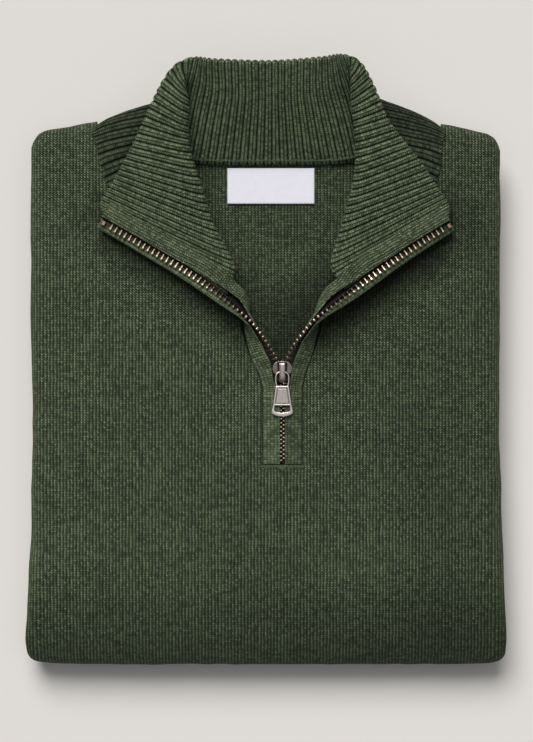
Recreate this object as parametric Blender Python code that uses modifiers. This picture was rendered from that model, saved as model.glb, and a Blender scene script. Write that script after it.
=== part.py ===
"""Quarter zip sweater in ribbed and plain knit, folded in half and laid flat.

The front panel is turned in at its sides and shoulders and folded in half, so it wraps the
whole stack. The collar and the upper zip are opened out to both sides over it. Lengths in the
tables are millimetres. The sweater rests on z = 0 with its neck towards +Y.
"""
import math

import bmesh
import bpy
import numpy as np
from mathutils import Matrix, Vector

# ---------------------------------------------------------------- sizes, mm
STACK = 36.0                # height of the folded sweater without its collar
FOLD_R = STACK / 2          # outer radius of the big fold at the bottom
FOLD_Y = -153.0             # centre line of that fold
PLY = 2.4                   # one ply of body jersey
GAP = 0.35                  # clearance between touching pieces
TURN_R = 9.0                # how far a side fold rounds in, seen from above
LIP = 24.0                  # how far the turned-in sides are kept as cloth
DROOP = 4.0                 # how far the top sinks on its way into the fold
SHOULDER_R = 8.0            # the same rounding at the shoulder line
SHOULDER_LIP = 10.0
HEM_Y = 128.0               # where the hem's edge lies underneath
HEM_RIB = 62.0              # depth of the ribbed hem
LOWER_INSET = 2.5           # the half underneath is this much narrower
RIB_PLY = 4.8               # the collar is ribbing folded double
BAND_PLY = 2.0              # placket band, facing
TAPE_PLY = 0.9
ZIP_X = 9.2                 # the zip runs right of the fold's centre

# Half widths of the folded body to either side, a row for each level
WIDTH = (
    # y, left, right
    (140.0, 136.0, 135.6),
    (95.0, 136.4, 135.2),
    (41.0, 136.6, 135.1),
    (-22.0, 135.6, 134.7),
    (-69.0, 136.0, 135.8),
    (-115.0, 137.6, 137.4),
    (-150.0, 139.4, 138.9),
    (-171.0, 139.8, 139.2),
)
# Height of a turned side, outside to outside, along the panel's length from the shoulder
TURN_HEIGHT = (
    # v, height
    (150.0, 15.0),
    (-95.0, 15.0),
    (-153.0, 11.0),
    (-209.5, 11.0),
    (-260.0, 14.0),
    (-500.0, 14.0),
)
# Shoulder line: the top edge of the folded body
SHOULDER = (
    # x, y
    (-140.0, 136.6),
    (-127.0, 139.6),
    (-99.0, 144.6),
    (0.0, 150.0),
    (103.0, 143.0),
    (120.0, 139.6),
    (140.0, 134.6),
)
# Front neckline from the shoulder to where the placket bands start
NECK_LEFT = (
    # y, x
    (146.0, -99.5),
    (137.0, -98.2),
    (125.0, -96.2),
    (114.0, -93.0),
    (104.3, -88.0),
    (96.0, -78.5),
    (85.0, -65.0),
    (68.5, -43.0),
    (55.3, -26.5),
)
NECK_RIGHT = (
    (144.5, 102.6),
    (136.0, 101.2),
    (124.0, 100.0),
    (112.0, 98.6),
    (104.3, 95.0),
    (96.0, 86.0),
    (85.0, 74.0),
    (69.5, 54.5),
    (56.0, 40.5),
)
# Back neckline, where the collar is linked to the back panel
NECK_BACK = (
    # x, y
    (-99.0, 141.0),
    (-88.0, 136.5),
    (-72.0, 130.0),
    (-52.0, 124.0),
    (-35.0, 122.0),
    (3.0, 121.3),
    (48.0, 122.3),
    (68.0, 126.0),
    (84.0, 132.0),
    (102.0, 140.0),
)
# The zip's line with the angle its edge is turned through: 0 lies flat and closed,
# 90 stands up, 180 is turned right over. band is the reach of the placket band past the teeth
# and tuck the width of the placket from the teeth to the panel's edge.
ZIP_LEFT = (
    # x, y, z, turn, band, tuck
    (9.0, -53.5, 33.6, 0.0, -1.2, 11.0),
    (9.0, -17.0, 33.6, 0.0, -1.2, 11.0),
    (8.9, -8.6, 33.9, 0.0, -3.2, 11.2),
    (8.0, -2.5, 34.6, 2.0, -4.9, 11.6),
    (6.4, 4.2, 35.8, 7.0, -4.4, 12.0),
    (3.0, 10.8, 39.0, 26.0, -3.4, 12.2),
    (-2.9, 20.4, 43.5, 60.0, -2.0, 12.2),
    (-10.2, 29.6, 47.3, 94.0, 0.6, 12.3),
    (-24.4, 41.4, 48.0, 140.0, 3.2, 12.6),
    (-45.2, 56.0, 47.0, 171.0, 4.0, 12.8),
    (-66.9, 69.1, 45.6, 180.0, 4.2, 12.8),
    (-93.2, 84.4, 44.2, 184.0, 4.2, 12.8),
)
ZIP_RIGHT = (
    (9.4, -53.5, 33.6, 0.0, -1.2, 11.0),
    (9.4, -17.0, 33.6, 0.0, -1.2, 11.0),
    (9.5, -8.6, 33.9, 0.0, -3.2, 11.2),
    (10.2, -2.5, 34.6, 2.0, -4.7, 11.6),
    (11.4, 4.2, 35.8, 7.0, -5.1, 12.0),
    (14.4, 11.8, 39.0, 28.0, -4.8, 12.2),
    (20.2, 20.6, 43.5, 62.0, -2.2, 12.2),
    (29.2, 30.8, 47.3, 98.0, 1.0, 12.3),
    (47.4, 43.9, 48.0, 142.0, 3.2, 12.6),
    (65.8, 57.5, 47.0, 171.0, 4.0, 12.8),
    (84.5, 70.4, 45.6, 180.0, 4.2, 12.8),
    (105.2, 83.2, 44.2, 184.0, 4.2, 12.8),
)
NECK_ON_ZIP = 8.0          # the zip row at which the collar's seam meets it
# The collar's cross sections from the back centre to the zip: where it is sewn on, where it
# rolls over and where its top edge ends, with the slopes at those points
COLLAR_LEFT = (
    # seam x, y, z, roll x, y, z, edge x, y, z, rise, at roll, at edge, bulge
    (3.1, 120.6, 33.0, 3.1, 151.0, 57.5, 3.0, 173.6, 70.5, 42.0, 36.0, 28.0, 0.0),
    (-31.0, 120.8, 33.0, -29.9, 155.7, 60.5, -29.6, 174.5, 71.0, 42.0, 36.0, 26.0, 0.0),
    (-58.0, 125.5, 34.0, -45.0, 163.39, 62.56, -41.3, 175.9, 71.5, 40, 62.8, 18.0, -2.78),
    (-70.15, 130.08, 33, -46.9, 158.49, 63.36, -50.7, 172.2, 70.0, 32.3, 78.53, 0.0, -0.34),
    (-98.0, 140.6, 38.4, -45.5, 152.8, 64, -57.3, 164.0, 66.5, 15, 88.0, -22.0, 7),
    (-98.0, 131.5, 39.7, -45.8, 139.6, 58.5, -64.6, 149.9, 61.0, 36.76, 90.0, -22.0, 2.0),
    (-90.5, 107.0, 39.7, -45.0, 125.0, 55.0, -73.0, 132.2, 55.0, 22.0, 90.0, -16.0, 2.0),
    (-68.5, 87.0, 39.7, -38.6, 104.5, 51.0, -80.8, 117.6, 50.0, 20.0, 90.0, -12.0, 1.0),
    (-41.5, 69.5, 39.7, -30.6, 82.5, 46.8, -87.6, 106.2, 45.8, 24.0, 90.0, -7.0, 0.0),
    (-23.0, 57.0, 40.0, -18.4, 58.4, 44.8, -94.6, 95.4, 43.9, 37.47, 90.0, -4.0, 0.0),
    (-22.8, 43.5, 45.3, -24.8, 45.0, 45.6, -93.0, 85.5, 44.0, 5.0, 5.0, -2.0, 0.0),
)
COLLAR_RIGHT = (
    (3.1, 120.6, 33.0, 3.1, 151.0, 57.5, 3.0, 173.6, 70.5, 42.0, 36.0, 28.0, 0.0),
    (38.0, 121.0, 33.0, 32.9, 156.7, 60.5, 31.7, 175.7, 71.0, 42.0, 36.0, 26.0, 0.0),
    (63.5, 125.5, 34.0, 47.4, 167.2, 63.35, 43.3, 177.5, 71.5, 20, 50, 18.0, 3.2),
    (84, 137.14, 38, 49.1, 165.0, 65.5, 52.5, 173.5, 70.0, 2.15, 74, 0.0, -0.38),
    (101.4, 139.6, 38.4, 49.3, 153.6, 60.96, 59.3, 161.8, 66.5, 30, 88.0, -22.0, 7),
    (101.0, 130.5, 39.7, 51.4, 138.7, 58.5, 66.6, 144.3, 61.0, 24, 90.0, -22.0, 2.0),
    (96.0, 107.0, 39.7, 52.6, 122.0, 55.0, 76.5, 131.0, 55.0, 22.0, 90.0, -16.0, 2.0),
    (76.0, 88.5, 39.7, 50.6, 105.0, 51.0, 86.6, 119.4, 50.0, 20.0, 90.0, -12.0, 1.0),
    (54.0, 71.0, 39.7, 44.2, 84.5, 47.08, 96.0, 105.6, 45.8, 24.0, 90.0, -7.0, 0.0),
    (41.0, 57.5, 40.0, 37.4, 58.8, 44.8, 103.6, 95.2, 43.9, 40.0, 90.0, -4.0, 0.0),
    (45.6, 46.0, 45.3, 47.6, 47.5, 45.6, 104.5, 84.5, 44.0, 5.0, 5.0, -2.0, 0.0),
)


# ---------------------------------------------------------------- curves
def smooth(knots, values, at, monotone=False):
    """Cubic Hermite interpolation through a table; monotone keeps it from overshooting."""
    knots = np.asarray(knots, float)
    values = np.asarray(values, float)
    at = np.asarray(at, float)
    if knots[0] > knots[-1]:
        knots, values = knots[::-1], values[::-1]
    step = np.diff(knots)
    flat = values.ndim == 1
    v = values[:, None] if flat else values
    slope = np.diff(v, axis=0) / step[:, None]
    tangent = np.empty_like(v)
    tangent[0], tangent[-1] = slope[0], slope[-1]
    if len(knots) > 2:
        a, b = step[:-1, None], step[1:, None]
        tangent[1:-1] = (slope[:-1] * b + slope[1:] * a) / (a + b)
        if monotone:
            turns = slope[:-1] * slope[1:] <= 0
            limit = 3 * np.minimum(abs(slope[:-1]), abs(slope[1:]))
            inner = np.clip(tangent[1:-1], -limit, limit)
            tangent[1:-1] = np.where(turns, 0, inner)
    x = np.clip(at, knots[0], knots[-1])
    i = np.clip(np.searchsorted(knots, x, side="right") - 1, 0, len(step) - 1)
    h = step[i][..., None]
    t = ((x - knots[i]) / step[i])[..., None]
    out = (
        (2 * t**3 - 3 * t**2 + 1) * v[i]
        + (t**3 - 2 * t**2 + t) * h * tangent[i]
        + (3 * t**2 - 2 * t**3) * v[i + 1]
        + (t**3 - t**2) * h * tangent[i + 1]
    )
    # straight on past either end
    out = out + (at - x)[..., None] * np.where((at > x)[..., None], tangent[-1], tangent[0])
    return out[..., 0] if flat else out


def column(rows, k):
    return np.array([r[k] for r in rows], float)


def ease(x, lo, hi):
    t = np.clip((np.asarray(x, float) - lo) / (hi - lo), 0, 1)
    return t * t * (3 - 2 * t)


# ---------------------------------------------------------------- the folded body
def level_of(v):
    """y of a row of the flat panel: along the top, round the bottom fold, back underneath."""
    v = np.asarray(v, float)
    under = v < FOLD_Y - math.pi * FOLD_R
    y = np.where(under, 2 * FOLD_Y - math.pi * FOLD_R - v, v)
    return np.where((v < FOLD_Y) & ~under, FOLD_Y - FOLD_R * np.sin((FOLD_Y - v) / FOLD_R), y)


def half_width(v, side):
    """Half width of the folded body at row v, measured to its outermost point."""
    w = smooth(column(WIDTH, 0), column(WIDTH, 1 if side < 0 else 2), level_of(v), True)
    return w - LOWER_INSET * ease(-np.asarray(v, float), -FOLD_Y, 215.0)


def turn_height(v):
    return smooth(column(TURN_HEIGHT, 0), column(TURN_HEIGHT, 1), v, True)


def relief(x, y):
    """Soft swells of the top panel, mm."""
    out = 0.7 * np.exp(-(((x - 45) / 60) ** 2) - ((y + 95) / 55) ** 2)
    out += 0.5 * np.exp(-(((x + 70) / 45) ** 2) - ((y + 20) / 70) ** 2)
    out -= 0.7 * np.exp(-(((x - 60) / 30) ** 2) - ((y + 20) / 40) ** 2)
    out -= 0.5 * np.exp(-(((x + 20) / 50) ** 2) - ((y + 110) / 40) ** 2)
    return out


def fold_body(u, v, relieved=True):
    """Takes points (u, v) of the flat front panel to where they lie on the outside of the folded
    sweater. The panel is turned in at both sides and at the shoulders, and in half at the bottom."""
    u, v = np.broadcast_arrays(np.asarray(u, float), np.asarray(v, float))
    side = np.where(u < 0, -1.0, 1.0)
    width = np.where(u < 0, half_width(v, -1), half_width(v, 1))
    inset = width - TURN_R
    over_x = np.maximum(0.0, abs(u) - inset)
    line = smooth(column(SHOULDER, 0), column(SHOULDER, 1), u) - SHOULDER_R
    over_y = np.maximum(0.0, v - line)
    over = np.hypot(over_x, over_y)
    a = turn_height(v) / 2
    r = np.where(over > 0, (TURN_R * over_x + SHOULDER_R * over_y) / np.maximum(over_x + over_y, 1e-9), TURN_R)
    mean = (a + r) / 2
    angle = np.minimum(over / mean, math.pi)
    past = np.maximum(0.0, over - math.pi * mean)
    reach = r * np.sin(angle) - past
    depth = a * (1 - np.cos(angle))
    # the top starts to fall away a little before the turn
    near = np.minimum(inset - np.minimum(abs(u), inset), np.maximum(line - v, 0.0))
    depth = depth + 0.9 * np.exp(-near / 11.0) * (1 - ease(over, 0, 14.0))
    share = np.maximum(over, 1e-9)
    x = side * np.minimum(abs(u), inset) + side * reach * over_x / share
    row = np.minimum(v, line) + reach * over_y / share
    if relieved:
        depth = depth - relief(x, row) * (row > FOLD_Y) * ease(row, FOLD_Y, FOLD_Y + 30) * (1 - ease(over, 0, 10))
    theta = np.clip((FOLD_Y - row) / FOLD_R, 0, math.pi)
    depth = depth + DROOP * ease(-row, 112.0, 168.0) * np.cos(np.minimum(theta, math.pi / 2)) ** 2 * (1 - ease(over, 0, 16.0))
    under = row < FOLD_Y - math.pi * FOLD_R
    y = np.where(under, 2 * FOLD_Y - math.pi * FOLD_R - row, np.maximum(row, FOLD_Y))
    y = y - (FOLD_R - depth) * np.sin(theta)
    z = STACK / 2 + (FOLD_R - depth) * np.cos(theta)
    return np.stack([x, y, z], -1)


# ---------------------------------------------------------------- the zip
def zip_frame(rows, side, t):
    """Point, run, reach and face of the zip at rows t. run goes up the zip, reach points out of
    the cloth past the teeth, and face points out of the garment's inner side."""
    k = np.arange(len(rows), dtype=float)
    t = np.asarray(t, float)
    point = smooth(k, np.array([r[:3] for r in rows]), t)
    step = 1e-3
    run = smooth(k, np.array([r[:3] for r in rows]), t + step) - smooth(k, np.array([r[:3] for r in rows]), t - step)
    run /= np.linalg.norm(run, axis=-1, keepdims=True)
    up = np.array([0.0, 0.0, 1.0])
    level = np.cross(run, up) * -side
    level /= np.linalg.norm(level, axis=-1, keepdims=True)
    rise = np.cross(level, run) * -side
    turn = np.radians(smooth(k, column(rows, 3), t, True))[..., None]
    reach = np.cos(turn) * level + np.sin(turn) * rise
    face = -np.cos(turn) * rise + np.sin(turn) * level
    return point, run, reach, face


def zip_value(rows, k, t):
    return smooth(np.arange(len(rows), dtype=float), column(rows, k), t, True)


def zip_point(rows, side, t, out, off):
    """A point out past the teeth by out, and off the tape towards the inner side by off."""
    point, _, reach, face = zip_frame(rows, side, t)
    return point + reach * np.asarray(out, float)[..., None] + face * np.asarray(off, float)[..., None]


def root_line(rows, side):
    """The edge of the front panel beside the placket, from the zip's foot to the neck seam."""
    t = np.linspace(0.0, NECK_ON_ZIP, 34)
    tuck = zip_value(rows, 5, t)
    turn = zip_value(rows, 3, t)
    return zip_point(rows, side, t, -(tuck + 0.5), -(2.3 + 1.5 * ease(turn, 15, 70) + 0.7 * ease(turn, 50, 85)))


def slit_x(v, side):
    """x of the front panel's inner edge at row v: the neckline, then the placket's line."""
    rows, neck = (ZIP_LEFT, NECK_LEFT) if side < 0 else (ZIP_RIGHT, NECK_RIGHT)
    root = root_line(rows, side)
    keep = root[:, 1] < neck[-1][0] - 5.0
    ys = np.concatenate([root[keep, 1], column(neck, 0)[::-1]])
    xs = np.concatenate([root[keep, 0], column(neck, 1)[::-1]])
    order = np.argsort(ys)
    return smooth(ys[order], xs[order], np.maximum(v, -53.5), True)


# ---------------------------------------------------------------- the flat panels
YOKE = 118.0                # rows above this one spread out to meet the shoulder line


def shoulder_line(x):
    return smooth(column(SHOULDER, 0), column(SHOULDER, 1), x) - SHOULDER_R


def panel_flat(side, p, q):
    """Flat (u, v) of a point of one half of the front panel. p runs 0 to 1 from the slit to the
    side fold, 1 to 2 round it and 2 to 3 along the turned-in lip. q is mm above the yoke where
    negative, then 0 to 1 up to the shoulder, 1 to 2 round it and 2 to 3 along its lip."""
    p, q = np.broadcast_arrays(np.asarray(p, float), np.asarray(q, float))
    v = np.where(q < 0, YOKE + q, YOKE + (float(shoulder_line(side * 100.0)) - YOKE) * np.clip(q, 0, 1))
    inset = half_width(v, side) - TURN_R
    slit = slit_x(v, side)
    turn = math.pi * (turn_height(v) / 2 + TURN_R) / 2
    lip = LIP * (1 - ease(v, 96.0, 124.0))
    a, b = np.clip(p - 1, 0, 1), np.clip(q - 1, 0, 1)
    round_x = a * np.sqrt(1 - b * b / 2) * turn
    round_y = b * np.sqrt(1 - a * a / 2) * turn
    u = slit + (side * inset - slit) * np.clip(p, 0, 1)
    lip_y = SHOULDER_LIP * ease(inset - abs(u), 0.0, 16.0) * np.clip(q - 2, 0, 1)
    u = u + side * (round_x + lip * np.clip(p - 2, 0, 1))
    line = shoulder_line(np.clip(u, -140, 140))
    v = np.where(q < 0, YOKE + q, YOKE + (line - YOKE) * np.clip(q, 0, 1)) + round_y + lip_y
    return u, v


def back_mid(x, y):
    """Height of the middle of the back panel, which lies inside under the front."""
    placket = (1 - ease(abs(np.asarray(x, float) - ZIP_X), 16, 40)) * (1 - ease(y, 5, 42)) * ease(y, -80, -58)
    return 30.7 - 0.5 * ease(y, 20, 90) - 1.4 * placket


# ---------------------------------------------------------------- the collar
def bezier(p, n):
    s = np.linspace(0, 1, n)[:, None]
    return (1 - s) ** 3 * p[0] + 3 * s * (1 - s) ** 2 * p[1] + 3 * s * s * (1 - s) * p[2] + s**3 * p[3]


def even(points, at):
    """Points of a polyline at shares at of its length, and its length."""
    d = np.concatenate([[0], np.cumsum(np.linalg.norm(np.diff(points, axis=0), axis=1))])
    return np.stack([np.interp(np.asarray(at) * d[-1], d, points[:, i]) for i in range(3)], -1), d[-1]


def section(row, at):
    """One cross section of the collar: at runs 0 to 0.5 up the stand from the seam to the roll
    and 0.5 to 1 down the fall to the top edge. Also gives the share of the depth at each."""
    seam, roll, edge = (np.array(row[i : i + 3], float) for i in (0, 3, 6))
    rise, at_roll, at_edge = (math.radians(a) for a in row[9:12])
    inward = (roll - seam) * (1, 1, 0)
    inward /= max(np.linalg.norm(inward), 1e-6)
    outward = (edge - roll) * (1, 1, 0)
    outward /= max(np.linalg.norm(outward), 1e-6)
    first, second = np.linalg.norm(roll - seam), np.linalg.norm(edge - roll)
    up = np.array([0.0, 0.0, 1.0])
    leave = math.cos(rise) * inward + math.sin(rise) * up
    top = math.cos(at_roll) * inward + math.sin(at_roll) * up
    end = math.cos(at_edge) * outward + math.sin(at_edge) * up
    sharp = math.sin(at_roll) ** 8
    h1 = first * 0.33 * (1 - sharp) + min(first * 0.4, 11.0) * sharp
    h2 = second * 0.33 * (1 - sharp) + min(second * 0.5, 9.5, 3.5 + first * 0.4) * sharp
    bulge = np.array([0.0, 1.0, 0.3]) * row[12]
    stand = bezier([seam, seam + leave * first * 0.33 + bulge, roll - top * h1 + bulge * 0.6, roll], 40)
    fall = bezier([roll, roll + top * h2, edge - end * second * 0.33, edge], 40)
    at = np.asarray(at, float)
    low, l1 = even(stand, np.clip(at * 2, 0, 1))
    high, l2 = even(fall, np.clip(at * 2 - 1, 0, 1))
    share = (np.clip(at * 2, 0, 1) * l1 + np.clip(at * 2 - 1, 0, 1) * l2) / (l1 + l2)
    return np.where((at <= 0.5)[:, None], low, high), share


def collar_row(station):
    """The collar's measures at a station: -10 at the left zip, 0 at the back, 10 at the right."""
    table = np.array(COLLAR_LEFT[::-1] + COLLAR_RIGHT[1:], float)
    return smooth(np.arange(-10.0, 11.0), table, station)


def collar_grid(stations, at):
    """Points of the collar's middle surface, by stations along it and places up its depth."""
    out = []
    for station in np.atleast_1d(np.asarray(stations, float)):
        side = -1 if station < 0 else 1
        points, depth = section(collar_row(station), at)
        t = NECK_ON_ZIP + (len(ZIP_LEFT) - 1 - NECK_ON_ZIP) * depth * 0.985
        beside = zip_point(ZIP_LEFT if side < 0 else ZIP_RIGHT, side, t, t * 0 - 4.6, t * 0 - 0.5)
        share = float(ease(abs(station), 8.9, 10.0))
        out.append(points * (1 - share) + beside * share)
    return np.array(out)


def collar_half(station, at):
    """Half the collar's thickness: thinner where it is pinched at the zip and in the tucked corners."""
    a, at = abs(np.asarray(station, float)), np.asarray(at, float)
    out = 1 - 0.78 * ease(a, 6.8, 8.2) * (1 - ease(at, 0.44, 0.58))
    out = out * (1 - 0.66 * ease(a, 1.5, 2.5) * (1 - ease(a, 4.6, 5.6)) * (1 - ease(at, 0.40, 0.56)))
    out = out * (1 - 0.3 * ease(a, 7.8, 8.9) * ease(at, 0.46, 0.60))
    return RIB_PLY / 2 * out * (1 - 0.25 * ease(a, 1.2, 2.0) * (1 - ease(a, 3.4, 4.6)))


def collar_at(station, depth):
    """Point and inner normal of the collar's middle surface at a share of its depth."""
    h = 0.02
    fine = np.concatenate([np.linspace(0, 0.5, 40), np.linspace(0.5, 1, 81)[1:]])
    lines = []
    for s in (station - h, station, station + h):
        _, share = section(collar_row(s), fine)
        points = collar_grid(s, fine)[0]
        lines.append(np.stack([
            [np.interp(d, share, points[:, i]) for i in range(3)] for d in (depth - h, depth, depth + h)
        ]))
    n = np.cross(lines[2][1] - lines[0][1], lines[1][2] - lines[1][0])
    return lines[1][1], n / np.linalg.norm(n)


def collar_beside(rows, side, t):
    """Where the collar's middle surface lies beside the zip at t: distances out and off."""
    depth = float(np.clip((t - NECK_ON_ZIP) / (len(rows) - 1 - NECK_ON_ZIP), 0, 1))
    point, _, reach, face = zip_frame(rows, side, max(t, NECK_ON_ZIP))
    at = [collar_at(side * k, depth)[0] - point for k in (9.97, 9.6, 9.3, 9.0, 8.7, 8.3)]
    return np.array([[p @ reach, p @ face] for p in at])


# ---------------------------------------------------------------- building in Blender
MM = 0.001
ORIGIN = (0.28, -3.92, 0.0)     # brings the middle of the footprint to the origin

GREEN = (0.019, 0.034, 0.026)
DEEP = (0.015, 0.028, 0.021)
BLACK = (0.012, 0.012, 0.012)
BRASS = (0.36, 0.25, 0.16)
NICKEL = (0.23, 0.21, 0.19)
WHITE = (0.78, 0.77, 0.74)

for old in list(bpy.data.objects):
    bpy.data.objects.remove(old, do_unlink=True)
sweater = bpy.data.collections.new("quarter_zip_sweater")
cutters = bpy.data.collections.new("cutters")
bpy.context.scene.collection.children.link(sweater)
bpy.context.scene.collection.children.link(cutters)


def material(name, color, rough, metal=0.0):
    m = bpy.data.materials.new(name)
    m.use_nodes = True
    shader = m.node_tree.nodes["Principled BSDF"]
    shader.inputs["Base Color"].default_value = (*color, 1)
    shader.inputs["Roughness"].default_value = rough
    shader.inputs["Metallic"].default_value = metal
    return m


def place(name, mesh, color, rough=0.9, metal=0.0):
    ob = bpy.data.objects.new(name, mesh)
    mesh.materials.append(material(name, color, rough, metal))
    sweater.objects.link(ob)
    return ob


def patch(bm, grid, loops=False):
    """Adds a grid of points to bm as quads. A point that is already a vertex is shared."""
    rows = []
    for line in grid:
        rows.append([
            p if isinstance(p, bmesh.types.BMVert) else bm.verts.new((Vector(p) + Vector(ORIGIN)) * MM)
            for p in line
        ])
    for one, two in zip(rows, rows[1:]):
        for j in range(len(one) - 1):
            bm.faces.new((one[j], one[j + 1], two[j + 1], two[j]))
        if loops:
            bm.faces.new((one[-1], one[0], two[0], two[-1]))
    return rows


def finish_mesh(bm, name, angle=50):
    mesh = bpy.data.meshes.new(name)
    bm.to_mesh(mesh)
    bm.free()
    mesh.shade_smooth()
    mesh.set_sharp_from_angle(angle=math.radians(angle))
    return mesh


def cloth(name, bm, ply, color, offset=-1.0):
    """An open surface given its thickness, inwards at -1 and to both sides at 0."""
    ob = place(name, finish_mesh(bm, name), color)
    shell = ob.modifiers.new("ply", "SOLIDIFY")
    shell.thickness = ply * MM
    shell.offset = offset
    return ob


def loft(name, rings, color, rough=0.9, metal=0.0):
    """A closed body through rings of points, with flat ends, facing outwards."""
    bm = bmesh.new()
    rows = patch(bm, rings, loops=True)
    ends = [bm.faces.new(rows[0][::-1]), bm.faces.new(rows[-1])]
    bmesh.ops.triangulate(bm, faces=ends)
    if bm.calc_volume(signed=True) < 0:
        bmesh.ops.reverse_faces(bm, faces=bm.faces[:])
    return place(name, finish_mesh(bm, name, 35), color, rough, metal)


def zip_strip(name, rows, side, t, section, color, rough=0.9, metal=0.0):
    """A strip along the zip. section gives its two sides and its two faces at t."""
    rings = []
    for k in t:
        o0, o1, low, high = section(k)
        mid = (o0 + o1) / 2
        corners = ((o0, low), (mid, low), (o1, low), (o1, high), (mid, high), (o0, high))
        rings.append([zip_point(rows, side, k, a, b) for a, b in corners])
    return loft(name, rings, color, rough, metal)


# ---------------------------------------------------------------- front panel and its hem
ACROSS = (0, 0.12, 0.3, 0.55, 0.8, 1, 1.2, 1.4, 1.6, 1.8, 2, 2.5, 3)
SHOULDER_ROWS = (3, 2, 1.8, 1.6, 1.4, 1.2, 1, 0.5, 0)
FLAT_ROWS = (104, 90, 76, 62, 50, 41, 32, 23, 14, 5, -6, -28, -54)
LOWER_ROWS = (-75, -97, -120, -138, -153, -161, -169, -177, -185.5, -193.5, -201.5, -209.5,
              -226, -250, -285, -325, -365, -400, -428.3)
HEM_ROWS = (-428.7, -444, -460, -475, -490.5)


def panel(name, upper, lower, ply, color):
    """Both halves of the front, and the strip that joins them below the placket."""
    bm = bmesh.new()
    q = list(upper) + [v - YOKE for v in lower]
    made = {}
    for side in (-1, 1):
        grid = [[fold_body(*panel_flat(side, p, k)) for p in ACROSS] for k in q]
        if side < 0:
            grid = [line[::-1] for line in grid]
        made[side] = patch(bm, grid)
    first = len(upper) + (lower.index(-54) if -54 in lower else 0)
    join = []
    for i in range(first, len(q)):
        left, right = made[-1][i][-1], made[1][i][0]
        join.append([left, fold_body(ZIP_X, q[i] + YOKE), right])
    patch(bm, join)
    bmesh.ops.remove_doubles(bm, verts=bm.verts[:], dist=1e-5)
    bmesh.ops.reverse_faces(bm, faces=bm.faces[:])
    return cloth(name, bm, ply, color)


panel("front_body", SHOULDER_ROWS, FLAT_ROWS + LOWER_ROWS, PLY, GREEN)
panel("hem_rib_front", (), HEM_ROWS, 2.8, DEEP)

# ---------------------------------------------------------------- back panel, seen in the neck
bm = bmesh.new()
across = np.array([-1, -0.8, -0.62, -0.42, -0.22, -0.07, 0.07, 0.22, 0.38, 0.58, 0.8, 1])
levels = (1, 0.88, 0.74, 0.6, 0.5, 0.4, 0.28, 0)
grid = []
for k in levels:
    line = []
    for a in across:
        edge = half_width(0.0, 1 if a > 0 else -1) - TURN_R - 0.5
        x = float(a * edge)
        top = min(float(smooth(column(NECK_BACK, 0), column(NECK_BACK, 1), x, True)), float(shoulder_line(x)))
        y = -112 + (top + 112) * k
        line.append((x, y, float(back_mid(x, y))))
    grid.append(line)
patch(bm, grid)
bmesh.ops.reverse_faces(bm, faces=bm.faces[:])
cloth("back_body", bm, PLY, GREEN, 0.0)

# hem of the back, just inside the front's hem
bm = bmesh.new()
grid = []
for y in (126.8, 106, 86, 66):
    ends = [-(float(half_width(-362.5 - y, -1)) - TURN_R - 16), float(half_width(-362.5 - y, 1)) - TURN_R - 16]
    grid.append([(x, y, 4.6) for x in np.linspace(ends[0], ends[1], 8)])
patch(bm, grid)
bmesh.ops.reverse_faces(bm, faces=bm.faces[:])
cloth("hem_rib_back", bm, 2.6, DEEP, 0.0)

# ---------------------------------------------------------------- what is folded away inside
LAYERS = (
    # z, in from the sides, neck end, foot of its sides
    (6.3, 8.0, 112.0, -98.0),
    (7.2, 5.4, 115.0, -98.0),
    (9.6, 5.0, 115.5, -98.0),
    (10.4, 7.5, 113.5, -98.0),
    (10.7, 36.0, 112.5, -98.0),
    (14.3, 36.0, 112.5, -98.0),
    (14.5, 9.0, 113.0, -140.0),
    (15.3, 6.0, 116.0, -142.0),
    (16.5, 6.0, 116.0, -142.0),
    (17.3, 8.6, 113.4, -140.0),
    (17.6, 8.6, 113.0, -140.0),
    (18.4, 6.6, 115.2, -142.0),
    (19.6, 6.6, 115.2, -142.0),
    (20.5, 9.0, 112.5, -140.0),
    (20.7, 36.0, 112.0, -98.0),
    (23.8, 36.0, 112.0, -98.0),
    (24.0, 8.0, 114.0, -96.0),
    (25.0, 5.4, 117.0, -94.0),
    (26.4, 5.4, 117.0, -94.0),
    (27.3, 8.0, 114.0, -96.0),
)
rings = []
for z, side_in, neck, foot in LAYERS:
    ring = []
    for side in (-1, 1):
        def out(y, extra=0.0):
            return side * (float(smooth(column(WIDTH, 0), column(WIDTH, 1 if side < 0 else 2), y, True)) - LOWER_INSET - extra)

        tongue = FOLD_Y - math.sqrt(12.9**2 - (z - 18) ** 2)
        half = [(0.0, tongue), (side * 60.0, tongue), (side * 96.0, tongue + 0.5), (side * 100.0, tongue + 3)]
        half += [(side * 100.5, foot - 2), (out(foot, max(side_in + 5, 36 - 1)), foot), (out(foot + 4, side_in), foot + 5)]
        half += [(out(y, side_in), y) for y in (-50.0, 0.0, 50.0, neck - 14)]
        half += [(out(neck, side_in + 3), neck - 4), (out(neck, side_in + 12), neck), (side * 60.0, neck)]
        ring += half if side > 0 else half[:0:-1]
    # from the left's neck end round by the foot to the right's neck end
    rings.append([(x, y, z) for x, y in ring])
loft("folded_layers", rings, DEEP)

# ---------------------------------------------------------------- collar
UP = (0, 0.12, 0.24, 0.36, 0.44, 0.48, 0.5, 0.52, 0.56, 0.64, 0.76, 0.88, 1)
STATIONS = np.linspace(-10, 10, 41)
grid = collar_grid(STATIONS, UP)
across = np.cross(np.gradient(grid, axis=0), np.gradient(grid, axis=1))
across /= np.linalg.norm(across, axis=-1, keepdims=True)
across *= collar_half(STATIONS[:, None], np.array(UP)[None, :])[..., None]
loft("collar", [list(a) + list(c[::-1]) for a, c in zip(grid + across, grid - across)], DEEP)

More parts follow.
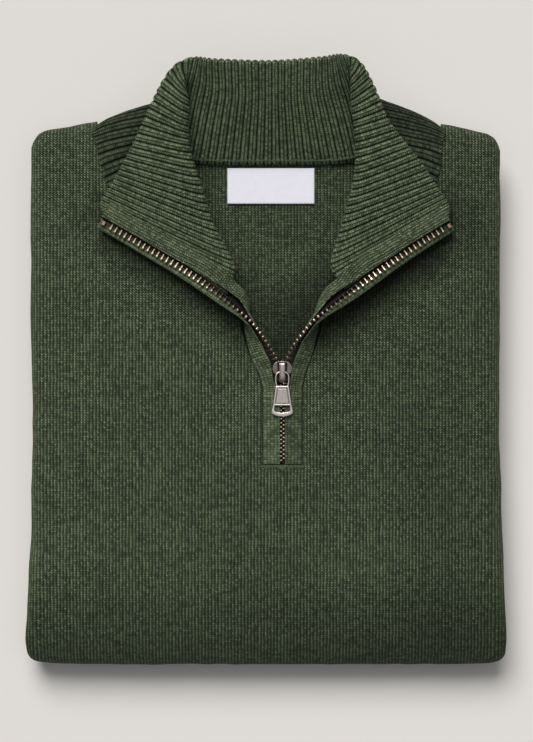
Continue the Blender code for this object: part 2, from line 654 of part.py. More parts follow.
# neck label on the inside of the back
bm = bmesh.new()
patch(bm, [[(x, y, float(back_mid(x, y)) + PLY / 2 + 0.85) for x in np.linspace(-22.6, 27.7, 5)] for y in np.linspace(117.2, 96.6, 3)])
bmesh.ops.reverse_faces(bm, faces=bm.faces[:])
cloth("neck_label", bm, 1.0, WHITE, 0.0)

# ---------------------------------------------------------------- zip, its bands and facings
ALONG = [0, 0.7, 1.4, 2, 2.3, 2.6, 3, 3.4, 3.8, 4.2, 4.6, 5, 5.3, 5.7, 6, 6.3, 6.7, 7, 7.35, 7.72,
         7.95, 8.2, 8.45, 8.7, 9, 9.5, 10, 10.5, 10.97]
for side, rows, tag in ((-1, ZIP_LEFT, "left"), (1, ZIP_RIGHT, "right")):

    def joined(k):
        return float(ease(k, 7.72, 7.97))

    def band(k):
        tuck = float(zip_value(rows, 5, k))
        return (-tuck + (tuck - 3.2) * joined(k), float(zip_value(rows, 4, k)), -3.3, -1.7)

    def tape(k):
        return (-8.0 + 5.0 * joined(k), -1.75, -0.45, 0.45)

    zip_strip("placket_" + tag, rows, side, ALONG, band, DEEP)
    zip_strip("zip_tape_" + tag, rows, side, ALONG, tape, BLACK, 0.8)
    teeth = [k for k in ALONG if 4.4 < k < 10.8] + [10.8]
    zip_strip("zip_chain_" + tag, rows, side, teeth, lambda k: (-1.4, 1.5, -1.0, 1.0), BRASS, 0.4, 0.9)
    zip_strip("top_stop_" + tag, rows, side, (10.83, 10.96), lambda k: (-1.45, 1.3, -1.3, 1.3), BRASS, 0.4, 0.9)

    # the facing leaves the tape at the neck seam and lies on the collar from there on
    rings = []
    for k in ALONG:
        on = float(ease(k, 7.0, 7.6))
        start = float(ease(k, 7.3, 7.8) * (1 - ease(k, 8.2, 8.9)))
        near = 3.3 + 3.5 * float(ease(k, 1.8, 2.4) * (1 - ease(k, 4.5, 5.0))) + 1.2 * on
        beside = collar_beside(rows, side, k)
        lower, upper = [], []
        for w in (0, 0.25, 0.5, 0.75, 1):
            out = -(near + (12.3 - 2.6 * start - near) * w)
            rest = float(np.interp(-out, -beside[:, 0], beside[:, 1]))
            for face, lift, to in ((0.75, 3.2 + 1.2 * start, lower), (2.35, 4.35 + 1.2 * start, upper)):
                to.append(zip_point(rows, side, k, out, face * (1 - on) + (rest + lift) * on))
        rings.append(lower + upper[::-1])
    loft("facing_" + tag, rings, GREEN)

MIDDLE = tuple(tuple((a + b) / 2 for a, b in zip(l, r)) for l, r in zip(ZIP_LEFT, ZIP_RIGHT))
zip_strip("zip_chain_closed", MIDDLE, -1, (0.03, 0.8, 1.6, 2.0, 2.35), lambda k: (-1.5, 1.5, -1.0, 1.0), BRASS, 0.4, 0.9)


# ---------------------------------------------------------------- slider and pull
SLIDER_AT = (9.1, 0.0, 34.75)
SLIDER_TILT = math.radians(6.0)
PIVOT = (0.0, -0.5, 3.85)      # the pull's bar under the bridge, in the slider's frame


def block(name, low, high, where, bevel=0.0):
    bm = bmesh.new()
    bmesh.ops.create_cube(bm, size=1.0)
    for v in bm.verts:
        v.co = Vector(((a + b) / 2 + c * (b - a)) * MM for a, b, c in zip(low, high, v.co))
    if bevel:
        edges = [e for e in bm.edges if abs(e.verts[0].co.z - e.verts[1].co.z) > 1e-6]
        bmesh.ops.bevel(bm, geom=edges, offset=bevel * MM, segments=3, affect="EDGES", profile=0.5)
    mesh = bpy.data.meshes.new(name)
    bm.to_mesh(mesh)
    bm.free()
    ob = bpy.data.objects.new(name, mesh)
    where.objects.link(ob)
    return ob


def combine(ob, other, how):
    other.hide_render = True
    other.display_type = "WIRE"
    other.parent = ob
    cut = ob.modifiers.new(other.name, "BOOLEAN")
    cut.operation = how
    cut.object = other
    cut.solver = "EXACT"


slider = block("zip_slider", (-5.5, -5.6, 1.35), (5.5, 5.7, 2.6), sweater, 2.2)
slider.data.materials.append(material("zip_slider", NICKEL, 0.35, 1.0))
combine(slider, block("lower_plate", (-5.5, -5.6, -2.6), (5.5, 5.7, -1.35), cutters, 2.2), "UNION")
combine(slider, block("post", (-1.3, 2.6, -2.0), (1.3, 5.3, 2.0), cutters, 0.5), "UNION")
combine(slider, block("bridge", (-1.65, -5.2, 2.0), (1.65, 5.3, 6.4), cutters), "UNION")
combine(slider, block("eye", (-3.0, -3.9, 2.6), (3.0, 3.9, 5.1), cutters), "DIFFERENCE")
slider.location = (Vector(SLIDER_AT) + Vector(ORIGIN)) * MM
slider.rotation_euler = (SLIDER_TILT, 0, 0)

pull = block("zip_pull", (-4.35, -8.6, -0.75), (4.35, 0.75, 0.75), sweater, 0.9)
pull.data.materials.append(material("zip_pull", NICKEL, 0.35, 1.0))
bm = bmesh.new()
PULL_PLAN = (
    # distance from the bar, half width
    (8.0, 3.8),
    (12.0, 4.1),
    (17.0, 5.0),
    (21.5, 6.2),
    (24.4, 6.3),
    (25.8, 5.0),
    (26.2, 3.0),
)
ring = [(w, -d) for d, w in PULL_PLAN] + [(-w, -d) for d, w in PULL_PLAN[::-1]]
low = [bm.verts.new(Vector((x, y, -0.72)) * MM) for x, y in ring]
face = bm.faces.new(low)
up = bmesh.ops.extrude_face_region(bm, geom=[face])
bmesh.ops.translate(bm, verts=[v for v in up["geom"] if isinstance(v, bmesh.types.BMVert)], vec=(0, 0, 1.44 * MM))
bmesh.ops.recalc_face_normals(bm, faces=bm.faces[:])
mesh = bpy.data.meshes.new("pull_plate")
bm.to_mesh(mesh)
bm.free()
plate = bpy.data.objects.new("pull_plate", mesh)
cutters.objects.link(plate)
combine(pull, plate, "UNION")
combine(pull, block("loop_hole", (-2.7, -6.9, -2), (2.7, -0.8, 2), cutters, 0.8), "DIFFERENCE")
combine(pull, block("slot", (-4.7, -23.6, -2), (4.7, -19.9, 2), cutters, 1.2), "DIFFERENCE")
turn = Matrix.Rotation(SLIDER_TILT, 3, "X")
pull.location = (Vector(SLIDER_AT) + turn @ Vector(PIVOT) + Vector(ORIGIN)) * MM
pull.rotation_euler = (math.radians(1.0), 0, 0)
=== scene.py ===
# Quarter zip sweater, folded and laid flat. Everything is worked out in millimetres on the same
# curves as the CAD and placed in metres in its frame.
import math

import bmesh
import bpy
import numpy as np
from mathutils import Matrix, Vector


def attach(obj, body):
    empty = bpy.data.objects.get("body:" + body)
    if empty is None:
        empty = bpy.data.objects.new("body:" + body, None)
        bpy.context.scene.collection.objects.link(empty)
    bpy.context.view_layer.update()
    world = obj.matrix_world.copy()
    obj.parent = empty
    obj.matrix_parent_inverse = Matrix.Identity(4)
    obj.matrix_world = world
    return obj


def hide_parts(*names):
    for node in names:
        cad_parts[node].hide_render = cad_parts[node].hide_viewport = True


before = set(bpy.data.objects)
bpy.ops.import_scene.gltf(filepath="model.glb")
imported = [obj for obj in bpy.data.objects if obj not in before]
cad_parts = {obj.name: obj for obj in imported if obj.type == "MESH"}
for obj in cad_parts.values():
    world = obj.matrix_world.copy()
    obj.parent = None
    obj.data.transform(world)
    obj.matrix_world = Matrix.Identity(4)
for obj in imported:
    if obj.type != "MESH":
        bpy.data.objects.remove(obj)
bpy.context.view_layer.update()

# ---------------------------------------------------------------- sizes, mm
STACK = 36.0                # height of the folded sweater without its collar
FOLD_R = STACK / 2          # outer radius of the big fold at the bottom
FOLD_Y = -153.0             # centre line of that fold
PLY = 2.4                   # one ply of body jersey
GAP = 0.35                  # clearance between touching pieces
TURN_R = 9.0                # how far a side fold rounds in, seen from above
LIP = 24.0                  # how far the turned-in sides are kept as cloth
DROOP = 4.0                 # how far the top sinks on its way into the fold
SHOULDER_R = 8.0            # the same rounding at the shoulder line
SHOULDER_LIP = 10.0
HEM_Y = 128.0               # where the hem's edge lies underneath
HEM_RIB = 62.0              # depth of the ribbed hem
LOWER_INSET = 2.5           # the half underneath is this much narrower
RIB_PLY = 4.8               # the collar is ribbing folded double
BAND_PLY = 2.0              # placket band, facing
TAPE_PLY = 0.9
ZIP_X = 9.2                 # the zip runs right of the fold's centre

# Half widths of the folded body to either side, a row for each level
WIDTH = (
    # y, left, right
    (140.0, 136.0, 135.6),
    (95.0, 136.4, 135.2),
    (41.0, 136.6, 135.1),
    (-22.0, 135.6, 134.7),
    (-69.0, 136.0, 135.8),
    (-115.0, 137.6, 137.4),
    (-150.0, 139.4, 138.9),
    (-171.0, 139.8, 139.2),
)
# Height of a turned side, outside to outside, along the panel's length from the shoulder
TURN_HEIGHT = (
    # v, height
    (150.0, 15.0),
    (-95.0, 15.0),
    (-153.0, 11.0),
    (-209.5, 11.0),
    (-260.0, 14.0),
    (-500.0, 14.0),
)
# Shoulder line: the top edge of the folded body
SHOULDER = (
    # x, y
    (-140.0, 136.6),
    (-127.0, 139.6),
    (-99.0, 144.6),
    (0.0, 150.0),
    (103.0, 143.0),
    (120.0, 139.6),
    (140.0, 134.6),
)
# Front neckline from the shoulder to where the placket bands start
NECK_LEFT = (
    # y, x
    (146.0, -99.5),
    (137.0, -98.2),
    (125.0, -96.2),
    (114.0, -93.0),
    (104.3, -88.0),
    (96.0, -78.5),
    (85.0, -65.0),
    (68.5, -43.0),
    (55.3, -26.5),
)
NECK_RIGHT = (
    (144.5, 102.6),
    (136.0, 101.2),
    (124.0, 100.0),
    (112.0, 98.6),
    (104.3, 95.0),
    (96.0, 86.0),
    (85.0, 74.0),
    (69.5, 54.5),
    (56.0, 40.5),
)
# Back neckline, where the collar is linked to the back panel
NECK_BACK = (
    # x, y
    (-99.0, 141.0),
    (-88.0, 136.5),
    (-72.0, 130.0),
    (-52.0, 124.0),
    (-35.0, 122.0),
    (3.0, 121.3),
    (48.0, 122.3),
    (68.0, 126.0),
    (84.0, 132.0),
    (102.0, 140.0),
)
# The zip's line with the angle its edge is turned through: 0 lies flat and closed,
# 90 stands up, 180 is turned right over. band is the reach of the placket band past the teeth
# and tuck the width of the placket from the teeth to the panel's edge.
ZIP_LEFT = (
    # x, y, z, turn, band, tuck
    (9.0, -53.5, 33.6, 0.0, -1.2, 11.0),
    (9.0, -17.0, 33.6, 0.0, -1.2, 11.0),
    (8.9, -8.6, 33.9, 0.0, -3.2, 11.2),
    (8.0, -2.5, 34.6, 2.0, -4.9, 11.6),
    (6.4, 4.2, 35.8, 7.0, -4.4, 12.0),
    (3.0, 10.8, 39.0, 26.0, -3.4, 12.2),
    (-2.9, 20.4, 43.5, 60.0, -2.0, 12.2),
    (-10.2, 29.6, 47.3, 94.0, 0.6, 12.3),
    (-24.4, 41.4, 48.0, 140.0, 3.2, 12.6),
    (-45.2, 56.0, 47.0, 171.0, 4.0, 12.8),
    (-66.9, 69.1, 45.6, 180.0, 4.2, 12.8),
    (-93.2, 84.4, 44.2, 184.0, 4.2, 12.8),
)
ZIP_RIGHT = (
    (9.4, -53.5, 33.6, 0.0, -1.2, 11.0),
    (9.4, -17.0, 33.6, 0.0, -1.2, 11.0),
    (9.5, -8.6, 33.9, 0.0, -3.2, 11.2),
    (10.2, -2.5, 34.6, 2.0, -4.7, 11.6),
    (11.4, 4.2, 35.8, 7.0, -5.1, 12.0),
    (14.4, 11.8, 39.0, 28.0, -4.8, 12.2),
    (20.2, 20.6, 43.5, 62.0, -2.2, 12.2),
    (29.2, 30.8, 47.3, 98.0, 1.0, 12.3),
    (47.4, 43.9, 48.0, 142.0, 3.2, 12.6),
    (65.8, 57.5, 47.0, 171.0, 4.0, 12.8),
    (84.5, 70.4, 45.6, 180.0, 4.2, 12.8),
    (105.2, 83.2, 44.2, 184.0, 4.2, 12.8),
)
NECK_ON_ZIP = 8.0          # the zip row at which the collar's seam meets it
# The collar's cross sections from the back centre to the zip: where it is sewn on, where it
# rolls over and where its top edge ends, with the slopes at those points
COLLAR_LEFT = (
    # seam x, y, z, roll x, y, z, edge x, y, z, rise, at roll, at edge, bulge
    (3.1, 120.6, 33.0, 3.1, 151.0, 57.5, 3.0, 173.6, 70.5, 42.0, 36.0, 28.0, 0.0),
    (-31.0, 120.8, 33.0, -29.9, 155.7, 60.5, -29.6, 174.5, 71.0, 42.0, 36.0, 26.0, 0.0),
    (-58.0, 125.5, 34.0, -45.0, 163.39, 62.56, -41.3, 175.9, 71.5, 40, 62.8, 18.0, -2.78),
    (-70.15, 130.08, 33, -46.9, 158.49, 63.36, -50.7, 172.2, 70.0, 32.3, 78.53, 0.0, -0.34),
    (-98.0, 140.6, 38.4, -45.5, 152.8, 64, -57.3, 164.0, 66.5, 15, 88.0, -22.0, 7),
    (-98.0, 131.5, 39.7, -45.8, 139.6, 58.5, -64.6, 149.9, 61.0, 36.76, 90.0, -22.0, 2.0),
    (-90.5, 107.0, 39.7, -45.0, 125.0, 55.0, -73.0, 132.2, 55.0, 22.0, 90.0, -16.0, 2.0),
    (-68.5, 87.0, 39.7, -38.6, 104.5, 51.0, -80.8, 117.6, 50.0, 20.0, 90.0, -12.0, 1.0),
    (-41.5, 69.5, 39.7, -30.6, 82.5, 46.8, -87.6, 106.2, 45.8, 24.0, 90.0, -7.0, 0.0),
    (-23.0, 57.0, 40.0, -18.4, 58.4, 44.8, -94.6, 95.4, 43.9, 37.47, 90.0, -4.0, 0.0),
    (-22.8, 43.5, 45.3, -24.8, 45.0, 45.6, -93.0, 85.5, 44.0, 5.0, 5.0, -2.0, 0.0),
)
COLLAR_RIGHT = (
    (3.1, 120.6, 33.0, 3.1, 151.0, 57.5, 3.0, 173.6, 70.5, 42.0, 36.0, 28.0, 0.0),
    (38.0, 121.0, 33.0, 32.9, 156.7, 60.5, 31.7, 175.7, 71.0, 42.0, 36.0, 26.0, 0.0),
    (63.5, 125.5, 34.0, 47.4, 167.2, 63.35, 43.3, 177.5, 71.5, 20, 50, 18.0, 3.2),
    (84, 137.14, 38, 49.1, 165.0, 65.5, 52.5, 173.5, 70.0, 2.15, 74, 0.0, -0.38),
    (101.4, 139.6, 38.4, 49.3, 153.6, 60.96, 59.3, 161.8, 66.5, 30, 88.0, -22.0, 7),
    (101.0, 130.5, 39.7, 51.4, 138.7, 58.5, 66.6, 144.3, 61.0, 24, 90.0, -22.0, 2.0),
    (96.0, 107.0, 39.7, 52.6, 122.0, 55.0, 76.5, 131.0, 55.0, 22.0, 90.0, -16.0, 2.0),
    (76.0, 88.5, 39.7, 50.6, 105.0, 51.0, 86.6, 119.4, 50.0, 20.0, 90.0, -12.0, 1.0),
    (54.0, 71.0, 39.7, 44.2, 84.5, 47.08, 96.0, 105.6, 45.8, 24.0, 90.0, -7.0, 0.0),
    (41.0, 57.5, 40.0, 37.4, 58.8, 44.8, 103.6, 95.2, 43.9, 40.0, 90.0, -4.0, 0.0),
    (45.6, 46.0, 45.3, 47.6, 47.5, 45.6, 104.5, 84.5, 44.0, 5.0, 5.0, -2.0, 0.0),
)


# ---------------------------------------------------------------- curves
def smooth(knots, values, at, monotone=False):
    """Cubic Hermite interpolation through a table; monotone keeps it from overshooting."""
    knots = np.asarray(knots, float)
    values = np.asarray(values, float)
    at = np.asarray(at, float)
    if knots[0] > knots[-1]:
        knots, values = knots[::-1], values[::-1]
    step = np.diff(knots)
    flat = values.ndim == 1
    v = values[:, None] if flat else values
    slope = np.diff(v, axis=0) / step[:, None]
    tangent = np.empty_like(v)
    tangent[0], tangent[-1] = slope[0], slope[-1]
    if len(knots) > 2:
        a, b = step[:-1, None], step[1:, None]
        tangent[1:-1] = (slope[:-1] * b + slope[1:] * a) / (a + b)
        if monotone:
            turns = slope[:-1] * slope[1:] <= 0
            limit = 3 * np.minimum(abs(slope[:-1]), abs(slope[1:]))
            inner = np.clip(tangent[1:-1], -limit, limit)
            tangent[1:-1] = np.where(turns, 0, inner)
    x = np.clip(at, knots[0], knots[-1])
    i = np.clip(np.searchsorted(knots, x, side="right") - 1, 0, len(step) - 1)
    h = step[i][..., None]
    t = ((x - knots[i]) / step[i])[..., None]
    out = (
        (2 * t**3 - 3 * t**2 + 1) * v[i]
        + (t**3 - 2 * t**2 + t) * h * tangent[i]
        + (3 * t**2 - 2 * t**3) * v[i + 1]
        + (t**3 - t**2) * h * tangent[i + 1]
    )
    # straight on past either end
    out = out + (at - x)[..., None] * np.where((at > x)[..., None], tangent[-1], tangent[0])
    return out[..., 0] if flat else out


def column(rows, k):
    return np.array([r[k] for r in rows], float)


def ease(x, lo, hi):
    t = np.clip((np.asarray(x, float) - lo) / (hi - lo), 0, 1)
    return t * t * (3 - 2 * t)


# ---------------------------------------------------------------- the folded body
def level_of(v):
    """y of a row of the flat panel: along the top, round the bottom fold, back underneath."""
    v = np.asarray(v, float)
    under = v < FOLD_Y - math.pi * FOLD_R
    y = np.where(under, 2 * FOLD_Y - math.pi * FOLD_R - v, v)
    return np.where((v < FOLD_Y) & ~under, FOLD_Y - FOLD_R * np.sin((FOLD_Y - v) / FOLD_R), y)


def half_width(v, side):
    """Half width of the folded body at row v, measured to its outermost point."""
    w = smooth(column(WIDTH, 0), column(WIDTH, 1 if side < 0 else 2), level_of(v), True)
    return w - LOWER_INSET * ease(-np.asarray(v, float), -FOLD_Y, 215.0)


def turn_height(v):
    return smooth(column(TURN_HEIGHT, 0), column(TURN_HEIGHT, 1), v, True)


def relief(x, y):
    """Soft swells of the top panel, mm."""
    out = 0.7 * np.exp(-(((x - 45) / 60) ** 2) - ((y + 95) / 55) ** 2)
    out += 0.5 * np.exp(-(((x + 70) / 45) ** 2) - ((y + 20) / 70) ** 2)
    out -= 0.7 * np.exp(-(((x - 60) / 30) ** 2) - ((y + 20) / 40) ** 2)
    out -= 0.5 * np.exp(-(((x + 20) / 50) ** 2) - ((y + 110) / 40) ** 2)
    return out


def fold_body(u, v, relieved=True):
    """Takes points (u, v) of the flat front panel to where they lie on the outside of the folded
    sweater. The panel is turned in at both sides and at the shoulders, and in half at the bottom."""
    u, v = np.broadcast_arrays(np.asarray(u, float), np.asarray(v, float))
    side = np.where(u < 0, -1.0, 1.0)
    width = np.where(u < 0, half_width(v, -1), half_width(v, 1))
    inset = width - TURN_R
    over_x = np.maximum(0.0, abs(u) - inset)
    line = smooth(column(SHOULDER, 0), column(SHOULDER, 1), u) - SHOULDER_R
    over_y = np.maximum(0.0, v - line)
    over = np.hypot(over_x, over_y)
    a = turn_height(v) / 2
    r = np.where(over > 0, (TURN_R * over_x + SHOULDER_R * over_y) / np.maximum(over_x + over_y, 1e-9), TURN_R)
    mean = (a + r) / 2
    angle = np.minimum(over / mean, math.pi)
    past = np.maximum(0.0, over - math.pi * mean)
    reach = r * np.sin(angle) - past
    depth = a * (1 - np.cos(angle))
    # the top starts to fall away a little before the turn
    near = np.minimum(inset - np.minimum(abs(u), inset), np.maximum(line - v, 0.0))
    depth = depth + 0.9 * np.exp(-near / 11.0) * (1 - ease(over, 0, 14.0))
    share = np.maximum(over, 1e-9)
    x = side * np.minimum(abs(u), inset) + side * reach * over_x / share
    row = np.minimum(v, line) + reach * over_y / share
    if relieved:
        depth = depth - relief(x, row) * (row > FOLD_Y) * ease(row, FOLD_Y, FOLD_Y + 30) * (1 - ease(over, 0, 10))
    theta = np.clip((FOLD_Y - row) / FOLD_R, 0, math.pi)
    depth = depth + DROOP * ease(-row, 112.0, 168.0) * np.cos(np.minimum(theta, math.pi / 2)) ** 2 * (1 - ease(over, 0, 16.0))
    under = row < FOLD_Y - math.pi * FOLD_R
    y = np.where(under, 2 * FOLD_Y - math.pi * FOLD_R - row, np.maximum(row, FOLD_Y))
    y = y - (FOLD_R - depth) * np.sin(theta)
    z = STACK / 2 + (FOLD_R - depth) * np.cos(theta)
    return np.stack([x, y, z], -1)


# ---------------------------------------------------------------- the zip
def zip_frame(rows, side, t):
    """Point, run, reach and face of the zip at rows t. run goes up the zip, reach points out of
    the cloth past the teeth, and face points out of the garment's inner side."""
    k = np.arange(len(rows), dtype=float)
    t = np.asarray(t, float)
    point = smooth(k, np.array([r[:3] for r in rows]), t)
    step = 1e-3
    run = smooth(k, np.array([r[:3] for r in rows]), t + step) - smooth(k, np.array([r[:3] for r in rows]), t - step)
    run /= np.linalg.norm(run, axis=-1, keepdims=True)
    up = np.array([0.0, 0.0, 1.0])
    level = np.cross(run, up) * -side
    level /= np.linalg.norm(level, axis=-1, keepdims=True)
    rise = np.cross(level, run) * -side
    turn = np.radians(smooth(k, column(rows, 3), t, True))[..., None]
    reach = np.cos(turn) * level + np.sin(turn) * rise
    face = -np.cos(turn) * rise + np.sin(turn) * level
    return point, run, reach, face


def zip_value(rows, k, t):
    return smooth(np.arange(len(rows), dtype=float), column(rows, k), t, True)


def zip_point(rows, side, t, out, off):
    """A point out past the teeth by out, and off the tape towards the inner side by off."""
    point, _, reach, face = zip_frame(rows, side, t)
    return point + reach * np.asarray(out, float)[..., None] + face * np.asarray(off, float)[..., None]


def root_line(rows, side):
    """The edge of the front panel beside the placket, from the zip's foot to the neck seam."""
    t = np.linspace(0.0, NECK_ON_ZIP, 34)
    tuck = zip_value(rows, 5, t)
    turn = zip_value(rows, 3, t)
    return zip_point(rows, side, t, -(tuck + 0.5), -(2.3 + 1.5 * ease(turn, 15, 70) + 0.7 * ease(turn, 50, 85)))


def slit_x(v, side):
    """x of the front panel's inner edge at row v: the neckline, then the placket's line."""
    rows, neck = (ZIP_LEFT, NECK_LEFT) if side < 0 else (ZIP_RIGHT, NECK_RIGHT)
    root = root_line(rows, side)
    keep = root[:, 1] < neck[-1][0] - 5.0
    ys = np.concatenate([root[keep, 1], column(neck, 0)[::-1]])
    xs = np.concatenate([root[keep, 0], column(neck, 1)[::-1]])
    order = np.argsort(ys)
    return smooth(ys[order], xs[order], np.maximum(v, -53.5), True)


# ---------------------------------------------------------------- the flat panels
YOKE = 118.0                # rows above this one spread out to meet the shoulder line


def shoulder_line(x):
    return smooth(column(SHOULDER, 0), column(SHOULDER, 1), x) - SHOULDER_R


def panel_flat(side, p, q):
    """Flat (u, v) of a point of one half of the front panel. p runs 0 to 1 from the slit to the
    side fold, 1 to 2 round it and 2 to 3 along the turned-in lip. q is mm above the yoke where
    negative, then 0 to 1 up to the shoulder, 1 to 2 round it and 2 to 3 along its lip."""
    p, q = np.broadcast_arrays(np.asarray(p, float), np.asarray(q, float))
    v = np.where(q < 0, YOKE + q, YOKE + (float(shoulder_line(side * 100.0)) - YOKE) * np.clip(q, 0, 1))
    inset = half_width(v, side) - TURN_R
    slit = slit_x(v, side)
    turn = math.pi * (turn_height(v) / 2 + TURN_R) / 2
    lip = LIP * (1 - ease(v, 96.0, 124.0))
    a, b = np.clip(p - 1, 0, 1), np.clip(q - 1, 0, 1)
    round_x = a * np.sqrt(1 - b * b / 2) * turn
    round_y = b * np.sqrt(1 - a * a / 2) * turn
    u = slit + (side * inset - slit) * np.clip(p, 0, 1)
    lip_y = SHOULDER_LIP * ease(inset - abs(u), 0.0, 16.0) * np.clip(q - 2, 0, 1)
    u = u + side * (round_x + lip * np.clip(p - 2, 0, 1))
    line = shoulder_line(np.clip(u, -140, 140))
    v = np.where(q < 0, YOKE + q, YOKE + (line - YOKE) * np.clip(q, 0, 1)) + round_y + lip_y
    return u, v


def back_mid(x, y):
    """Height of the middle of the back panel, which lies inside under the front."""
    placket = (1 - ease(abs(np.asarray(x, float) - ZIP_X), 16, 40)) * (1 - ease(y, 5, 42)) * ease(y, -80, -58)
    return 30.7 - 0.5 * ease(y, 20, 90) - 1.4 * placket


# ---------------------------------------------------------------- the collar
def bezier(p, n):
    s = np.linspace(0, 1, n)[:, None]
    return (1 - s) ** 3 * p[0] + 3 * s * (1 - s) ** 2 * p[1] + 3 * s * s * (1 - s) * p[2] + s**3 * p[3]


def even(points, at):
    """Points of a polyline at shares at of its length, and its length."""
    d = np.concatenate([[0], np.cumsum(np.linalg.norm(np.diff(points, axis=0), axis=1))])
    return np.stack([np.interp(np.asarray(at) * d[-1], d, points[:, i]) for i in range(3)], -1), d[-1]


def section(row, at):
    """One cross section of the collar: at runs 0 to 0.5 up the stand from the seam to the roll
    and 0.5 to 1 down the fall to the top edge. Also gives the share of the depth at each."""
    seam, roll, edge = (np.array(row[i : i + 3], float) for i in (0, 3, 6))
    rise, at_roll, at_edge = (math.radians(a) for a in row[9:12])
    inward = (roll - seam) * (1, 1, 0)
    inward /= max(np.linalg.norm(inward), 1e-6)
    outward = (edge - roll) * (1, 1, 0)
    outward /= max(np.linalg.norm(outward), 1e-6)
    first, second = np.linalg.norm(roll - seam), np.linalg.norm(edge - roll)
    up = np.array([0.0, 0.0, 1.0])
    leave = math.cos(rise) * inward + math.sin(rise) * up
    top = math.cos(at_roll) * inward + math.sin(at_roll) * up
    end = math.cos(at_edge) * outward + math.sin(at_edge) * up
    sharp = math.sin(at_roll) ** 8
    h1 = first * 0.33 * (1 - sharp) + min(first * 0.4, 11.0) * sharp
    h2 = second * 0.33 * (1 - sharp) + min(second * 0.5, 9.5, 3.5 + first * 0.4) * sharp
    bulge = np.array([0.0, 1.0, 0.3]) * row[12]
    stand = bezier([seam, seam + leave * first * 0.33 + bulge, roll - top * h1 + bulge * 0.6, roll], 40)
    fall = bezier([roll, roll + top * h2, edge - end * second * 0.33, edge], 40)
    at = np.asarray(at, float)
    low, l1 = even(stand, np.clip(at * 2, 0, 1))
    high, l2 = even(fall, np.clip(at * 2 - 1, 0, 1))
    share = (np.clip(at * 2, 0, 1) * l1 + np.clip(at * 2 - 1, 0, 1) * l2) / (l1 + l2)
    return np.where((at <= 0.5)[:, None], low, high), share


def collar_row(station):
    """The collar's measures at a station: -10 at the left zip, 0 at the back, 10 at the right."""
    table = np.array(COLLAR_LEFT[::-1] + COLLAR_RIGHT[1:], float)
    return smooth(np.arange(-10.0, 11.0), table, station)


def collar_grid(stations, at):
    """Points of the collar's middle surface, by stations along it and places up its depth."""
    out = []
    for station in np.atleast_1d(np.asarray(stations, float)):
        side = -1 if station < 0 else 1
        points, depth = section(collar_row(station), at)
        t = NECK_ON_ZIP + (len(ZIP_LEFT) - 1 - NECK_ON_ZIP) * depth * 0.985
        beside = zip_point(ZIP_LEFT if side < 0 else ZIP_RIGHT, side, t, t * 0 - 4.6, t * 0 - 0.5)
        share = float(ease(abs(station), 8.9, 10.0))
        out.append(points * (1 - share) + beside * share)
    return np.array(out)


def collar_half(station, at):
    """Half the collar's thickness: thinner where it is pinched at the zip and in the tucked corners."""
    a, at = abs(np.asarray(station, float)), np.asarray(at, float)
    out = 1 - 0.78 * ease(a, 6.8, 8.2) * (1 - ease(at, 0.44, 0.58))
    out = out * (1 - 0.66 * ease(a, 1.5, 2.5) * (1 - ease(a, 4.6, 5.6)) * (1 - ease(at, 0.40, 0.56)))
    out = out * (1 - 0.3 * ease(a, 7.8, 8.9) * ease(at, 0.46, 0.60))
    return RIB_PLY / 2 * out * (1 - 0.25 * ease(a, 1.2, 2.0) * (1 - ease(a, 3.4, 4.6)))


def collar_at(station, depth):
    """Point and inner normal of the collar's middle surface at a share of its depth."""
    h = 0.02
    fine = np.concatenate([np.linspace(0, 0.5, 40), np.linspace(0.5, 1, 81)[1:]])
    lines = []
    for s in (station - h, station, station + h):
        _, share = section(collar_row(s), fine)
        points = collar_grid(s, fine)[0]
        lines.append(np.stack([
            [np.interp(d, share, points[:, i]) for i in range(3)] for d in (depth - h, depth, depth + h)
        ]))
    n = np.cross(lines[2][1] - lines[0][1], lines[1][2] - lines[1][0])
    return lines[1][1], n / np.linalg.norm(n)


def collar_beside(rows, side, t):
    """Where the collar's middle surface lies beside the zip at t: distances out and off."""
    depth = float(np.clip((t - NECK_ON_ZIP) / (len(rows) - 1 - NECK_ON_ZIP), 0, 1))
    point, _, reach, face = zip_frame(rows, side, max(t, NECK_ON_ZIP))
    at = [collar_at(side * k, depth)[0] - point for k in (9.97, 9.6, 9.3, 9.0, 8.7, 8.3)]
    return np.array([[p @ reach, p @ face] for p in at])


# ================================================================ building meshes
MM = 0.001
ORIGIN = (0.28, -3.92, 0.0)     # brings the middle of the footprint to the origin
RIB = 4.2                       # one rib of the collar and hem
WALE, COURSE = 1.9, 1.4         # one stitch of the body


def put(points):
    return (np.asarray(points, float) + ORIGIN) * MM


def hash01(*keys):
    """The same number from 0 to 1 for the same keys, each run."""
    n = 0.0
    for k, key in enumerate(keys):
        n += float(key) * (12.9898 + 41.233 * k)
    return math.modf(abs(math.sin(n) * 43758.5453))[0]


